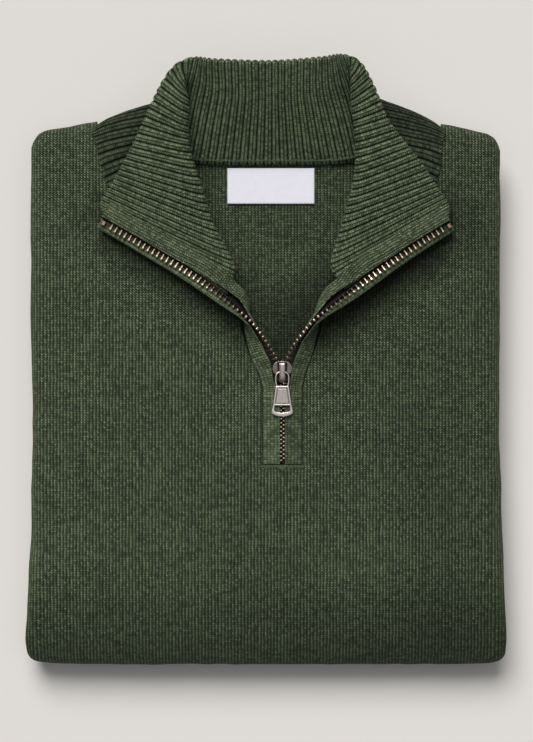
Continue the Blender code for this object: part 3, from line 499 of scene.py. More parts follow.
class Build:
    """Collects grids of points, with flat coordinates in mm, into one mesh."""

    def __init__(self):
        self.verts, self.quads, self.maps, self.slots, self.caps, self.painted_shading_rows = [], [], [], [], [], []
        self.count = 0

    def grid(self, points, flat, wrap=False, flip=False, slot=0, painted_shading=0.0):
        points, flat = np.asarray(points, float), np.asarray(flat, float)
        n, m = points.shape[:2]
        self.painted_shading_rows.append(np.broadcast_to(np.asarray(painted_shading, float), (n, m)).ravel())
        idx = np.arange(n * m).reshape(n, m) + self.count
        self.verts.append(points.reshape(-1, 3))
        self.count += n * m
        wide = np.concatenate([idx, idx[:, :1]], 1) if wrap else idx
        q = np.stack([wide[:-1, :-1], wide[:-1, 1:], wide[1:, 1:], wide[1:, :-1]], -1).reshape(-1, 4)
        f = np.stack([flat[:-1, :-1], flat[:-1, 1:], flat[1:, 1:], flat[1:, :-1]], -2).reshape(-1, 4, 2)
        if flip:
            q, f = q[:, ::-1], f[:, ::-1]
        self.quads.append(q)
        self.maps.append(f)
        self.slots.append(np.full(len(q), slot))
        return idx

    def cap(self, ring, flip=False, slot=0, flat=(0.0, 0.0)):
        """Closes a ring of points with a fan of triangles about its middle."""
        ring = list(ring)
        pts = np.concatenate(self.verts)[ring]
        self.verts.append(pts.mean(0)[None])
        self.painted_shading_rows.append(np.zeros(1))
        mid = self.count
        self.count += 1
        for a, b in zip(ring, ring[1:] + ring[:1]):
            self.caps.append((((b, a, mid) if flip else (a, b, mid)), slot, flat))

    def join(self, name, materials, weld=0.0, sharp=60.0):
        me = bpy.data.meshes.new(name)
        quads = np.concatenate(self.quads) if self.quads else np.zeros((0, 4), int)
        faces = [tuple(map(int, q)) for q in quads] + [c[0] for c in self.caps]
        me.from_pydata(put(np.concatenate(self.verts)).tolist(), [], faces)
        layer = me.uv_layers.new(name="flat")
        uv = np.zeros((len(me.loops), 2))
        if len(quads):
            uv[: len(quads) * 4] = np.concatenate(self.maps).reshape(-1, 2)
        if self.caps:
            uv[len(quads) * 4 :] = np.repeat([c[2] for c in self.caps], 3, 0)
        layer.uv.foreach_set("vector", uv.astype(np.float32).ravel())
        slots = np.concatenate([np.concatenate(self.slots) if self.slots else np.zeros(0), [c[1] for c in self.caps]])
        me.polygons.foreach_set("material_index", slots.astype(np.int32))
        for m in materials:
            me.materials.append(m)
        # each vertex's painted shading (painted shade above zero, painted light below) goes into a point attribute that
        # the knit materials multiply into their colour
        if any(t.any() for t in self.painted_shading_rows):
            me.attributes.new("painted_shading", "FLOAT", "POINT").data.foreach_set("value", np.concatenate(self.painted_shading_rows).astype(np.float32))
        if weld:
            bm = bmesh.new()
            bm.from_mesh(me)
            bmesh.ops.remove_doubles(bm, verts=bm.verts[:], dist=weld * MM)
            bm.to_mesh(me)
            bm.free()
        me.shade_smooth()
        me.set_sharp_from_angle(angle=math.radians(sharp))
        me.update()
        ob = bpy.data.objects.new(name, me)
        bpy.context.scene.collection.objects.link(ob)
        return ob


def fix_normals(ob):
    """Turns every face of a closed mesh outwards."""
    bm = bmesh.new()
    bm.from_mesh(ob.data)
    bmesh.ops.recalc_face_normals(bm, faces=bm.faces[:])
    bm.to_mesh(ob.data)
    bm.free()


def solidify(ob, ply, offset):
    shell = ob.modifiers.new("ply", "SOLIDIFY")
    shell.thickness = ply * MM
    shell.offset = offset
    return ob


def grid_normals(points):
    du = np.gradient(points, axis=0)
    dv = np.gradient(points, axis=1)
    n = np.cross(du, dv)
    return n / np.maximum(np.linalg.norm(n, axis=-1, keepdims=True), 1e-9)


def waves(x, y, seed, size, count=9):
    """Soft uneven swells about 1 high and size mm across, the same each run."""
    out = np.zeros(np.broadcast(x, y).shape)
    for k in range(count):
        a = 2 * math.pi * hash01(seed, k, 1)
        w = 2 * math.pi / (size * (0.7 + 0.9 * hash01(seed, k, 2)))
        out += np.sin(w * (x * math.cos(a) + y * math.sin(a)) + 6.28 * hash01(seed, k, 3))
    return out / math.sqrt(count / 2.0)


# ================================================================ materials
class Nodes:
    """Short hand for a material's node tree."""

    def __init__(self, name):
        self.m = bpy.data.materials.new(name)
        self.m.use_nodes = True
        self.t = self.m.node_tree
        self.shader = self.t.nodes["Principled BSDF"]

    def add(self, kind, inputs=(), **values):
        n = self.t.nodes.new(kind)
        for k, v in values.items():
            setattr(n, k, v)
        for k, v in dict(inputs).items():
            self.set(n, k, v)
        return n

    def set(self, n, k, v):
        if isinstance(v, bpy.types.NodeSocket):
            self.t.links.new(v, n.inputs[k])
        else:
            n.inputs[k].default_value = v

    def math(self, what, a, b=0.0, c=0.0, clamp=False):
        n = self.add("ShaderNodeMath", {0: a, 1: b, 2: c}, operation=what, use_clamp=clamp)
        return n.outputs[0]

    def mix(self, share, a, b, how="MIX"):
        n = self.add("ShaderNodeMix", data_type="RGBA", blend_type=how)
        n.clamp_factor = True
        self.set(n, 0, share)
        self.set(n, 6, (*a, 1) if isinstance(a, tuple) else a)
        self.set(n, 7, (*b, 1) if isinstance(b, tuple) else b)
        return n.outputs[2]

    def ramp(self, value, low, high, to_low=0.0, to_high=1.0):
        n = self.add("ShaderNodeMapRange", {0: value, 1: low, 2: high, 3: to_low, 4: to_high}, interpolation_type="SMOOTHSTEP")
        return n.outputs[0]

    def noise(self, where, scale, detail=2.0, rough=0.5, out=0):
        n = self.add("ShaderNodeTexNoise", {"Vector": where, "Scale": scale, "Detail": detail, "Roughness": rough})
        return n.outputs[out]


def knit(name, base, wale=WALE, course=COURSE, slant=1.7, depth=0.55, low=0.13, high=3.4, rib=0.0, rib_valley_shade=0.0, across=False, shift=0.0, loose=1.0, gap=0.0, course_deep=0.75, apex=0.5, dim=1.0, power=1.2):
    """Stockinette of yarn coloured base. Each wale is a column of V stitches, each leg of them of a
    slightly different shade, with painted shade in the gaps between the stitches. rib, where given, is the
    pitch of a knitted rib, and its valleys get painted shade."""
    n = Nodes(name)
    uv = n.add("ShaderNodeUVMap", uv_map="flat").outputs[0]
    # the yarn wanders a little, so that no stitch is quite like the next
    place = uv
    for scale, amount in ((0.13, 1.1 * loose), (1.1, 0.26 * loose)):
        wander = n.add("ShaderNodeTexNoise", {"Vector": uv, "Scale": scale, "Detail": 2.0, "Roughness": 0.6})
        off = n.add("ShaderNodeVectorMath", {0: wander.outputs[1], 1: (0.5, 0.5, 0.5)}, operation="SUBTRACT").outputs[0]
        off = n.add("ShaderNodeVectorMath", {0: off, "Scale": amount}, operation="SCALE").outputs[0]
        place = n.add("ShaderNodeVectorMath", {0: place, 1: off}, operation="ADD").outputs[0]
    split = n.add("ShaderNodeSeparateXYZ", {0: place}).outputs
    u, v = (split[1], split[0]) if across else (split[0], split[1])
    column = n.math("ADD", n.math("DIVIDE", u, wale), shift)
    # each wale is 0 to 1 across, with the foot of its V at apex; the leg to the right may be dimmer, a painted shade as
    # though the light fell from one side
    across_wale = n.math("FRACT", n.math("ADD", column, apex))
    left_leg = n.math("DIVIDE", n.math("SUBTRACT", apex, across_wale), apex)
    right_leg = n.math("DIVIDE", n.math("SUBTRACT", across_wale, apex), 1.0 - apex)
    cell = n.math("MULTIPLY", n.math("MAXIMUM", left_leg, right_leg), 0.5)
    # painted shade: each leg darkens towards its edges and the gap between wales falls to gap
    leg = n.math("MULTIPLY", n.ramp(cell, 0.08, 0.5, 1.0, gap), n.ramp(cell, 0.0, 0.14, 0.6, 1.0))
    leg = n.math("MULTIPLY", leg, n.ramp(across_wale, apex - 0.05, apex + 0.12, 1.0, dim))
    lift = n.math("SUBTRACT", n.math("DIVIDE", v, course), n.math("MULTIPLY", cell, slant))
    part = n.math("FRACT", lift)
    loop = n.math("POWER", n.math("SINE", n.math("MULTIPLY", part, math.pi)), 0.8)
    stitch = n.math("MULTIPLY", leg, n.math("ADD", n.math("MULTIPLY", loop, course_deep), 1.0 - course_deep))
    key = n.add("ShaderNodeCombineXYZ", {0: n.math("FLOOR", n.math("ADD", column, 0.5)), 1: n.math("FLOOR", lift)}).outputs[0]
    shade = n.add("ShaderNodeTexWhiteNoise", {"Vector": key}, noise_dimensions="2D").outputs[0]
    # fibres within the yarn
    fibre = n.noise(uv, 1.5, 2.0, 0.7)
    height = n.math("ADD", stitch, n.math("MULTIPLY", fibre, 0.35))
    height = n.math("ADD", height, n.math("MULTIPLY", shade, 0.25))
    bump = n.add("ShaderNodeBump", {"Strength": 1.0, "Distance": depth * MM, "Height": height})
    n.t.links.new(bump.outputs[0], n.shader.inputs["Normal"])
    # how light each spot is: painted shade in the gaps between stitches makes each stitch stand out, and the yarn is
    # heathered
    tone = n.math("ADD", n.math("MULTIPLY", n.math("POWER", stitch, power), high - low), low)
    tone = n.math("MULTIPLY", tone, n.math("ADD", n.math("MULTIPLY", shade, 0.9), 0.55))
    tone = n.math("MULTIPLY", tone, n.ramp(fibre, 0.3, 0.7, 0.62, 1.38))
    patch = n.noise(uv, 0.022, 3.0, 0.6)
    tone = n.math("MULTIPLY", tone, n.ramp(patch, 0.3, 0.72, 0.95, 1.05))
    stretch = (0.03, 0.35, 1.0) if not across else (0.35, 0.03, 1.0)
    streak = n.noise(n.add("ShaderNodeMapping", {"Vector": uv, "Scale": stretch}).outputs[0], 1.0, 2.0, 0.6)
    tone = n.math("MULTIPLY", tone, n.ramp(streak, 0.3, 0.7, 0.94, 1.06))
    # painted shade in the rib's valleys
    if rib:
        flat = n.add("ShaderNodeSeparateXYZ", {0: uv}).outputs[1 if across else 0]
        valley = n.math("PINGPONG", n.math("DIVIDE", flat, rib), 0.5)
        tone = n.math("MULTIPLY", tone, n.ramp(valley, 0.04, 0.24, 1.0 - rib_valley_shade, 1.0))
    # painted shade, and below zero painted light, from the mesh's per-vertex painted shading attribute
    painted_shading = n.add("ShaderNodeAttribute", attribute_name="painted_shading").outputs["Fac"]
    tone = n.math("MULTIPLY", tone, n.math("SUBTRACT", 1.0, painted_shading))
    # where a stitch is painted lighter its colour is greyer
    pale = tuple(c * k for c, k in zip(base, (1.0, 1.0, 1.08)))
    colour = n.mix(n.ramp(stitch, 0.2, 0.9), tuple(c * k for c, k in zip(base, (1.0, 1.0, 0.92))), pale)
    colour = n.mix(1.0, colour, n.add("ShaderNodeCombineColor", {0: tone, 1: tone, 2: tone}).outputs[0], "MULTIPLY")
    n.t.links.new(colour, n.shader.inputs["Base Color"])
    n.shader.inputs["Roughness"].default_value = 0.95
    n.shader.inputs["Specular IOR Level"].default_value = 0.15
    n.shader.inputs["Sheen Weight"].default_value = 0.12
    n.shader.inputs["Sheen Roughness"].default_value = 0.5
    n.shader.inputs["Sheen Tint"].default_value = (0.62, 0.72, 0.5, 1)
    return n.m


def metal(name, base, dark, rough, scale, depth=0.02, tarnish=0.5, tips=False):
    """Plated metal with worn high spots, tarnish in its low ones and a fine cast grain. With tips,
    the flat layer's second value tells the polished tip of a tooth from its tarnished root."""
    n = Nodes(name)
    where = n.add("ShaderNodeTexCoord").outputs["Object"]
    cloud = n.noise(where, scale, 4.0, 0.65)
    fine = n.noise(where, scale * 9, 3.0, 0.7)
    tarnish_and_painted_shading = n.math("MULTIPLY", n.ramp(cloud, 0.42, 0.68), tarnish)
    if tips:
        split = n.add("ShaderNodeSeparateXYZ", {0: n.add("ShaderNodeUVMap", uv_map="flat").outputs[0]}).outputs
        tarnish_and_painted_shading = n.math("MAXIMUM", tarnish_and_painted_shading, n.ramp(split[1], 0.15, 0.75, 0.82, 0.0))
    colour = n.mix(tarnish_and_painted_shading, base, dark)
    colour = n.mix(n.math("MULTIPLY", n.ramp(fine, 0.5, 0.75), 0.25), colour, tuple(min(1, c * 1.25) for c in base))
    n.t.links.new(colour, n.shader.inputs["Base Color"])
    n.t.links.new(n.ramp(cloud, 0.3, 0.7, rough * 0.8, rough * 1.35), n.shader.inputs["Roughness"])
    n.shader.inputs["Metallic"].default_value = 1.0
    bump = n.add("ShaderNodeBump", {"Strength": 0.6, "Distance": depth * MM, "Height": fine})
    n.t.links.new(bump.outputs[0], n.shader.inputs["Normal"])
    return n.m


def woven(name, base, pitch, depth, rough=0.9, contrast=0.35):
    """Plain weave, as in a zip's tape or a satin label."""
    n = Nodes(name)
    uv = n.add("ShaderNodeUVMap", uv_map="flat").outputs[0]
    split = n.add("ShaderNodeSeparateXYZ", {0: uv}).outputs
    a = n.math("SINE", n.math("MULTIPLY", split[0], 2 * math.pi / pitch[0]))
    b = n.math("SINE", n.math("MULTIPLY", split[1], 2 * math.pi / pitch[1]))
    weave = n.math("ADD", n.math("MULTIPLY", n.math("MULTIPLY", a, b), 0.5), 0.5)
    grain = n.noise(uv, 2.5, 2.0, 0.7)
    height = n.math("ADD", weave, n.math("MULTIPLY", grain, 0.4))
    bump = n.add("ShaderNodeBump", {"Strength": 0.7, "Distance": depth * MM, "Height": height})
    n.t.links.new(bump.outputs[0], n.shader.inputs["Normal"])
    shade = n.math("ADD", n.math("MULTIPLY", weave, contrast), 1.0 - contrast)
    shade = n.math("MULTIPLY", shade, n.ramp(n.noise(uv, 0.2, 3.0, 0.6), 0.3, 0.7, 0.98, 1.01))
    colour = n.mix(1.0, base, n.add("ShaderNodeCombineColor", {0: shade, 1: shade, 2: shade}).outputs[0], "MULTIPLY")
    n.t.links.new(colour, n.shader.inputs["Base Color"])
    n.shader.inputs["Roughness"].default_value = rough
    n.shader.inputs["Specular IOR Level"].default_value = 0.25
    return n.m


BODY = (0.078, 0.103, 0.057)
PLAIN = tuple(c * 0.72 for c in BODY)
JERSEY = knit("jersey", PLAIN, gap=0.6, course_deep=1.0, apex=0.57, dim=0.7, power=2.3, low=0.05, high=4.79, slant=1.6, loose=1.0)
INSIDE = knit("jersey_inside", PLAIN, gap=0.5, course_deep=1.0, apex=0.4, dim=0.75, power=2.2, low=0.05, high=4.9, slant=1.6, loose=1.0)
RIBBED = knit("ribbing", BODY, wale=RIB / 2, course=1.35, slant=1.5, depth=0.45, shift=0.5, rib=RIB, rib_valley_shade=0.66, loose=0.8, low=0.14, high=2.95, gap=0.12)
BANDS = knit("placket_rib", tuple(c * 0.86 for c in BODY), wale=1.45, course=2.0, slant=0.7, depth=0.35, across=True, loose=1.5, low=0.2, high=2.6, gap=0.4, course_deep=0.8, power=1.0)
FACE = knit("facing_knit", BODY, wale=1.7, course=1.4, gap=0.2, course_deep=1.0, apex=0.4, low=0.1, high=3.3)
SEAM = knit("seam_yarn", tuple(c * 1.25 for c in BODY), wale=0.9, course=1.0, depth=0.2, low=0.4, high=1.6)
TAPE = woven("zip_tape_black", (0.014, 0.013, 0.012), (0.9, 0.9), 0.12)
LABEL = woven("label_white", (0.86, 0.85, 0.93), (0.55, 0.55), 0.03, 0.6, 0.04)
BRASS = metal("tooth_brass", (0.74, 0.56, 0.45), (0.27, 0.17, 0.125), 0.4, 900.0, tarnish=0.25, tips=True)
NICKEL = metal("antique_nickel", (0.25, 0.21, 0.19), (0.15, 0.12, 0.105), 0.34, 500.0, tarnish=0.6)
PALE_NICKEL = metal("pull_nickel", (0.46, 0.41, 0.38), (0.33, 0.285, 0.26), 0.34, 420.0, tarnish=0.6)
BRIGHT_NICKEL = metal("nickel_edges", (0.60, 0.54, 0.51), (0.40, 0.35, 0.32), 0.30, 420.0, tarnish=0.5)
DARK_NICKEL = metal("nickel_hollows", (0.055, 0.045, 0.04), (0.03, 0.024, 0.02), 0.5, 500.0, tarnish=0.6)


# ================================================================ front panel and hems
# the zip's upper ends reach a little further out than in the plain solids
ZIP_LEFT = ZIP_LEFT[:-1] + ((-96.4, 86.5, *ZIP_LEFT[-1][2:]),)
ZIP_RIGHT = ZIP_RIGHT[:-1] + ((107.0, 84.6, *ZIP_RIGHT[-1][2:]),)
EDGES = {side: zip_frame(rows, side, np.linspace(3.2, 11.0, 120))[0][:, :2] for side, rows in ((-1, ZIP_LEFT), (1, ZIP_RIGHT))}


def painted_front_shade(points):
    """Painted shade for each point of the front: a painted shadow beside and below the open zip's raised edges, painted
    shade round the bottom fold and towards the right side, and a few soft darker and lighter patches.
    """
    x, y = points[..., 0], points[..., 1]
    out = np.zeros(x.shape)
    # painted shadow cast below the raised edges of the open zip, on each side
    for side, most, start, end in ((-1, 0.55, 9.0, 26.0), (1, 0.66, 10.0, 29.0)):
        edge = EDGES[side]
        d = np.full(x.shape, 1e9)
        for p in edge:
            d = np.minimum(d, np.hypot(x - p[0], y - p[1]))
        here = (x - ZIP_X) * side > 9.5
        low = ease(y, -3.0, 16.0)
        inner = (x - edge[-1, 0]) * side < -12.0
        above = y > np.interp(x, edge[::side, 0], edge[::side, 1])
        d = np.where(above & inner, 0.0, d)
        past = 1 - 0.6 * ease((x - edge[-1, 0]) * side, -8.0, 6.0)
        out = np.maximum(out, most * (1 - ease(d, start, end)) * low * here * past)
    top = points[..., 2] > 18.0
    # painted shade round the bottom fold, and growing towards the right side
    out = out + 0.34 * ease(-y, 112.0, 156.0) * (1 - 0.6 * ease(-y, 160.0, 171.0)) * top
    out = out + 0.13 * ease(x, -10.0, 75.0) * top
    # a few soft darker and lighter patches
    for cx, cy, rx, ry, k in ((8, -118, 34, 50, 0.10), (100, -120, 26, 60, 0.12), (88, -38, 24, 30, 0.10), (-20, -70, 60, 40, 0.04), (55, -105, 30, 45, -0.10)):
        out = out + k * np.exp(-(((x - cx) / rx) ** 2) - ((y - cy) / ry) ** 2) * top
    return np.clip(out, -0.3, 0.8)


def spread(*parts):
    """Joins runs of even steps: (from, to, how many)."""
    out = []
    for a, b, n in parts:
        out.append(np.linspace(a, b, n, endpoint=False))
    return np.concatenate(out + [[parts[-1][1]]])


def loose(points, flat, amount=1.0):
    """Moves a grid of cloth off its even surface by soft swells, out along its normals."""
    n = grid_normals(points)
    u, v = flat[..., 0], flat[..., 1]
    h = 0.16 * waves(u, v, 3, 46.0) + 0.09 * waves(u, v, 5, 17.0) + 0.035 * waves(u, v, 7, 5.5)
    return points + n * (h * amount)[..., None]


def panel(name, upper, lower, across, bridge, ply, mats, ribs=False):
    """Both halves of the front, and the strip that joins them below the placket."""
    q = np.concatenate([upper, np.asarray(lower, float) - YOKE]) if len(upper) else np.asarray(lower, float) - YOKE
    b = Build()
    inner = {}
    for side in (-1, 1):
        p, k = np.meshgrid(across, q)
        u, v = panel_flat(side, p, k)
        pts = fold_body(u, v)
        flat = np.stack([u, v], -1)
        if side < 0:
            pts, flat = pts[:, ::-1], flat[:, ::-1]
        n = grid_normals(pts)
        if n[len(n) // 2, len(across) // 2] @ (pts[len(n) // 2, len(across) // 2] - (0, 0, STACK / 2)) < 0:
            n = -n
        if ribs:
            phase = flat[..., 0] / RIB
            ridge = np.abs(np.sin(math.pi * phase)) ** 0.55
            pts = pts - n * ((1 - ridge) * 1.0)[..., None]
        else:
            keep = np.clip((p if side > 0 else p[:, ::-1]) * 9, 0, 1)
            h = 0.15 * waves(flat[..., 0], flat[..., 1], 3, 46.0) + 0.08 * waves(flat[..., 0], flat[..., 1], 5, 17.0)
            h = h + 0.03 * waves(flat[..., 0], flat[..., 1], 7, 5.5)
            pts = pts + n * (h * keep)[..., None]
        inner[side] = (pts, flat)
        b.grid(pts, flat, flip=True, painted_shading=painted_front_shade(pts))
    first = len(upper) + int(np.argmax(np.asarray(lower) <= -54.0 + 1e-6))
    if name == "front_panel" or ribs:
        w = np.linspace(0, 1, bridge)[None, :]
        left, lf = inner[-1][0][first:, -1], inner[-1][1][first:, -1]
        right, rf = inner[1][0][first:, 0], inner[1][1][first:, 0]
        u = lf[:, None, 0] * (1 - w) + rf[:, None, 0] * w
        v = lf[:, None, 1] * (1 - w) + rf[:, None, 1] * w
        pts = fold_body(u, v)
        if ribs:
            n = grid_normals(pts)
            if n[len(n) // 2, 1] @ (pts[len(n) // 2, 1] - (0, 0, STACK / 2)) < 0:
                n = -n
            pts = pts - n * ((1 - np.abs(np.sin(math.pi * u / RIB)) ** 0.55) * 1.0)[..., None]
        pts[:, 0], pts[:, -1] = left, right
        b.grid(pts, np.stack([u, v], -1), flip=True, painted_shading=painted_front_shade(pts))
    ob = b.join(name, mats, weld=0.01)
    return solidify(ob, ply, -1.0)


UPPER = spread((3, 2, 3), (2, 1, 6), (1, 0, 9))
TOP = np.concatenate([np.arange(YOKE - 2.2, FOLD_Y, -2.2), np.arange(FOLD_Y, -209.6, -2.2), np.linspace(-212, -428.3, 42)])
TOP = np.sort(np.append(TOP, -54.0))[::-1]
ACROSS = spread((0, 1, 58), (1, 2, 9), (2, 3, 4))
front = panel("front_panel", UPPER, TOP, ACROSS, 12, PLY, [JERSEY])
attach(front, "sweater")
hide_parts("front_body")

HEM = np.linspace(-428.7, -490.5, 20)
FINE = spread((0, 1, 200), (1, 2, 28), (2, 3, 30))
hem = panel("hem_front_ribbed", [], HEM, FINE, 30, 2.8, [RIBBED], ribs=True)
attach(hem, "sweater")
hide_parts("hem_rib_front")

b = Build()
ys = np.linspace(126.8, 66.0, 14)
x0 = -(float(half_width(-362.5 - 100, -1)) - TURN_R - 16)
x1 = float(half_width(-362.5 - 100, 1)) - TURN_R - 16
xs = np.linspace(x0, x1, int((x1 - x0) / RIB * 7))
X, Y = np.meshgrid(xs, ys)
ridge = np.abs(np.sin(math.pi * X / RIB)) ** 0.55
b.grid(np.stack([X, Y, 4.6 - 0.5 * ridge + 0.25], -1), np.stack([X, Y], -1))
hem_back = solidify(b.join("hem_back_ribbed", [RIBBED]), 1.9, 0.0)
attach(hem_back, "sweater")
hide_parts("hem_rib_back")

# ================================================================ back panel, seen in the neck
b = Build()
across = np.concatenate([-np.linspace(1, 0.02, 45), np.linspace(0.02, 1, 45)])
levels = np.linspace(1, 0, 96)
pts = np.zeros((len(levels), len(across), 3))
for i, k in enumerate(levels):
    edge = np.array([float(half_width(0.0, 1 if a > 0 else -1)) - TURN_R - 0.5 for a in across])
    x = across * edge
    top = np.minimum(smooth(column(NECK_BACK, 0), column(NECK_BACK, 1), x, True), shoulder_line(x))
    y = -112 + (top + 112) * k
    pts[i] = np.stack([x, y, back_mid(x, y)], -1)
X, Y = pts[..., 0], pts[..., 1]
swell = 0.10 * waves(X, Y, 11, 34.0) + 0.05 * waves(X, Y, 12, 11.0)
pts[..., 2] += swell - 0.12
# painted shade in the neck opening: darker down towards the foot of the V and beside the raised zip edges
inside = 0.06 + 0.44 * (1 - ease(Y, 26.0, 66.0))
for side in (-1, 1):
    edge = EDGES[side]
    d = np.min([np.hypot(X - p[0], Y - p[1]) for p in edge], axis=0)
    inside = np.maximum(inside, (0.5 if side < 0 else 0.62) * (1 - ease(d, 6.0, 34.0 if side < 0 else 40.0)))
b.grid(pts, pts[..., :2], flip=True, painted_shading=inside)
back = solidify(b.join("back_panel", [INSIDE]), PLY - 0.1, 0.0)
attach(back, "sweater")
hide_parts("back_body")

# ================================================================ the layers folded inside
LAYERS = (
    # z, in from the sides, neck end, foot of its sides
    (6.3, 8.0, 112.0, -98.0),
    (7.2, 5.4, 115.0, -98.0),
    (9.6, 5.0, 115.5, -98.0),
    (10.4, 7.5, 113.5, -98.0),
    (10.7, 36.0, 112.5, -98.0),
    (14.3, 36.0, 112.5, -98.0),
    (14.5, 9.0, 113.0, -140.0),
    (15.3, 6.0, 116.0, -142.0),
    (16.5, 6.0, 116.0, -142.0),
    (17.3, 8.6, 113.4, -140.0),
    (17.6, 8.6, 113.0, -140.0),
    (18.4, 6.6, 115.2, -142.0),
    (19.6, 6.6, 115.2, -142.0),
    (20.5, 9.0, 112.5, -140.0),
    (20.7, 36.0, 112.0, -98.0),
    (23.8, 36.0, 112.0, -98.0),
    (24.0, 8.0, 114.0, -96.0),
    (25.0, 5.4, 117.0, -94.0),
    (26.4, 5.4, 117.0, -94.0),
    (27.3, 8.0, 114.0, -96.0),
)


def layer_ring(z, side_in, neck, foot):
    ring = []
    for side in (-1, 1):
        def out(y, extra=0.0):
            return side * (float(smooth(column(WIDTH, 0), column(WIDTH, 1 if side < 0 else 2), y, True)) - LOWER_INSET - extra)

        tongue = FOLD_Y - math.sqrt(12.9**2 - (z - 18) ** 2)
        half = [(0.0, tongue), (side * 60.0, tongue), (side * 96.0, tongue + 0.5), (side * 100.0, tongue + 3)]
        half += [(side * 100.5, foot - 2), (out(foot, max(side_in + 5, 36 - 1)), foot), (out(foot + 4, side_in), foot + 5)]
        half += [(out(y, side_in), y) for y in (-50.0, 0.0, 50.0, neck - 14)]
        half += [(out(neck, side_in + 3), neck - 4), (out(neck, side_in + 12), neck), (side * 60.0, neck)]
        ring += half if side > 0 else half[:0:-1]
    return np.array([(x, y, z) for x, y in ring])


base = [layer_ring(*row) for row in LAYERS]
counts = np.maximum(1, np.ceil(np.max([np.linalg.norm(np.roll(r, -1, 0) - r, axis=1) for r in base], axis=0) / 7.0)).astype(int)


def dense(ring):
    return np.concatenate([a + (b2 - a) * np.linspace(0, 1, n, endpoint=False)[:, None] for a, b2, n in zip(ring, np.roll(ring, -1, 0), counts)])


b = Build()
rings = []
for one, two in zip(base, base[1:]):
    steps = 3 if two[0, 2] - one[0, 2] > 0.6 else 1
    for s in range(steps):
        rings.append(dense(one + (two - one) * s / steps))
rings.append(dense(base[-1]))
rings = np.array(rings)
around = np.concatenate([[0], np.cumsum(np.linalg.norm(np.diff(rings[3], axis=0), axis=1))])
around = np.append(around, around[-1] + np.linalg.norm(rings[3][0] - rings[3][-1]))
rise = np.concatenate([[0], np.cumsum(np.mean(np.linalg.norm(np.diff(rings, axis=0), axis=2), axis=1))])
flat = np.stack(np.meshgrid(around, rise), -1)
wob = 0.35 * waves(flat[:, :-1, 0], flat[:, :-1, 1] * 6, 21, 38.0)
middle = np.array([0.0, -15.0, 0.0])
inwards = middle - rings
inwards[..., 2] = 0
inwards /= np.linalg.norm(inwards, axis=-1, keepdims=True)
rings = rings + inwards * np.maximum(0.0, 0.35 + wob)[..., None]
idx = b.grid(rings, flat, wrap=True)
b.cap(idx[0], flip=True)
b.cap(idx[-1])
layers = b.join("folded_inside", [JERSEY], sharp=50)
fix_normals(layers)
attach(layers, "sweater")
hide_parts("folded_layers")

# ================================================================ collar
FULL = 2.4                      # half of the collar's doubled thickness, at a rib's crest


def rib_stations():
    """Stations of evenly spaced ribs, measured where each part of the collar shows."""
    s = np.linspace(-10, 10, 161)
    g = collar_grid(s, np.array([0.22, 0.36, 0.66, 0.8]))
    d = np.linalg.norm(np.diff(g, axis=0), axis=2)
    mid = (s[1:] + s[:-1]) / 2
    w = ease(abs(mid), 2.2, 3.6)
    step = (d[:, 0] + d[:, 1]) / 2 * (1 - w) + (d[:, 2] + d[:, 3]) / 2 * w
    length = np.concatenate([[0], np.cumsum(step)])
    zero = np.interp(0.0, s, length)
    return s, length - zero


COLLAR_LEFT = COLLAR_LEFT[:1] + ((-37.5, *COLLAR_LEFT[1][1:]),) + COLLAR_LEFT[2:]
COLLAR_RIGHT = COLLAR_RIGHT[:1] + ((42.5, *COLLAR_RIGHT[1][1:]),) + COLLAR_RIGHT[2:]
STATION, LENGTH = rib_stations()
cols = 7
first, last = math.ceil(LENGTH[0] / RIB), math.floor(LENGTH[-1] / RIB)
share = np.array([0.0, 0.07, 0.2, 0.38, 0.62, 0.8, 0.93])
along = np.concatenate([[LENGTH[0]]] + [(k + share) * RIB for k in range(first, last)] + [[last * RIB, LENGTH[-1]]])
along = along[np.concatenate([[True], np.diff(along) > 0.05])]
stations = np.interp(along, LENGTH, STATION)
up = spread((0, 0.36, 15), (0.36, 0.46, 6), (0.46, 0.56, 12), (0.56, 0.7, 7), (0.7, 1.0, 14))
middle = collar_grid(stations, up)
depth = np.concatenate([np.zeros((len(stations), 1)), np.cumsum(np.linalg.norm(np.diff(middle, axis=1), axis=2), axis=1)], axis=1)
normal = grid_normals(middle)
ridge = np.abs(np.sin(math.pi * along / RIB)) ** 0.5
# the ribs run out into a plain band along the zip
edge_at = 8.35 + 0.45 * ease(up, 0.5, 1.0)
plain = ease(abs(stations)[:, None] - edge_at[None, :], -0.12, 0.22) * ease(up, 0.30, 0.46)[None, :]
plain = np.maximum(plain, ease(abs(stations), 9.3, 9.6)[:, None])
groove = (1 - ridge)[:, None] * (1 - plain) * 1.5 + 0.3 * plain
# the foot thins out and comes down to the body, so that the ribs start flush with the seam
toe = ease(abs(stations), 2.2, 3.6) * (1 - ease(abs(stations), 8.3, 9.3))
toe = toe[:, None] * (1 - ease(depth, 0.0, 11.0))
foot = 1 - 0.30 * (1 - ease(depth, 0.0, 3.0))
full = collar_half(stations[:, None], up[None, :])
half = np.maximum((full - groove * np.minimum(1, full / FULL)) * foot * (1 - 0.55 * toe), 0.3)
middle = middle - np.array([0.0, 0.0, 2.2]) * toe[..., None]
flat = np.stack([np.broadcast_to(along[:, None], depth.shape), depth], -1)
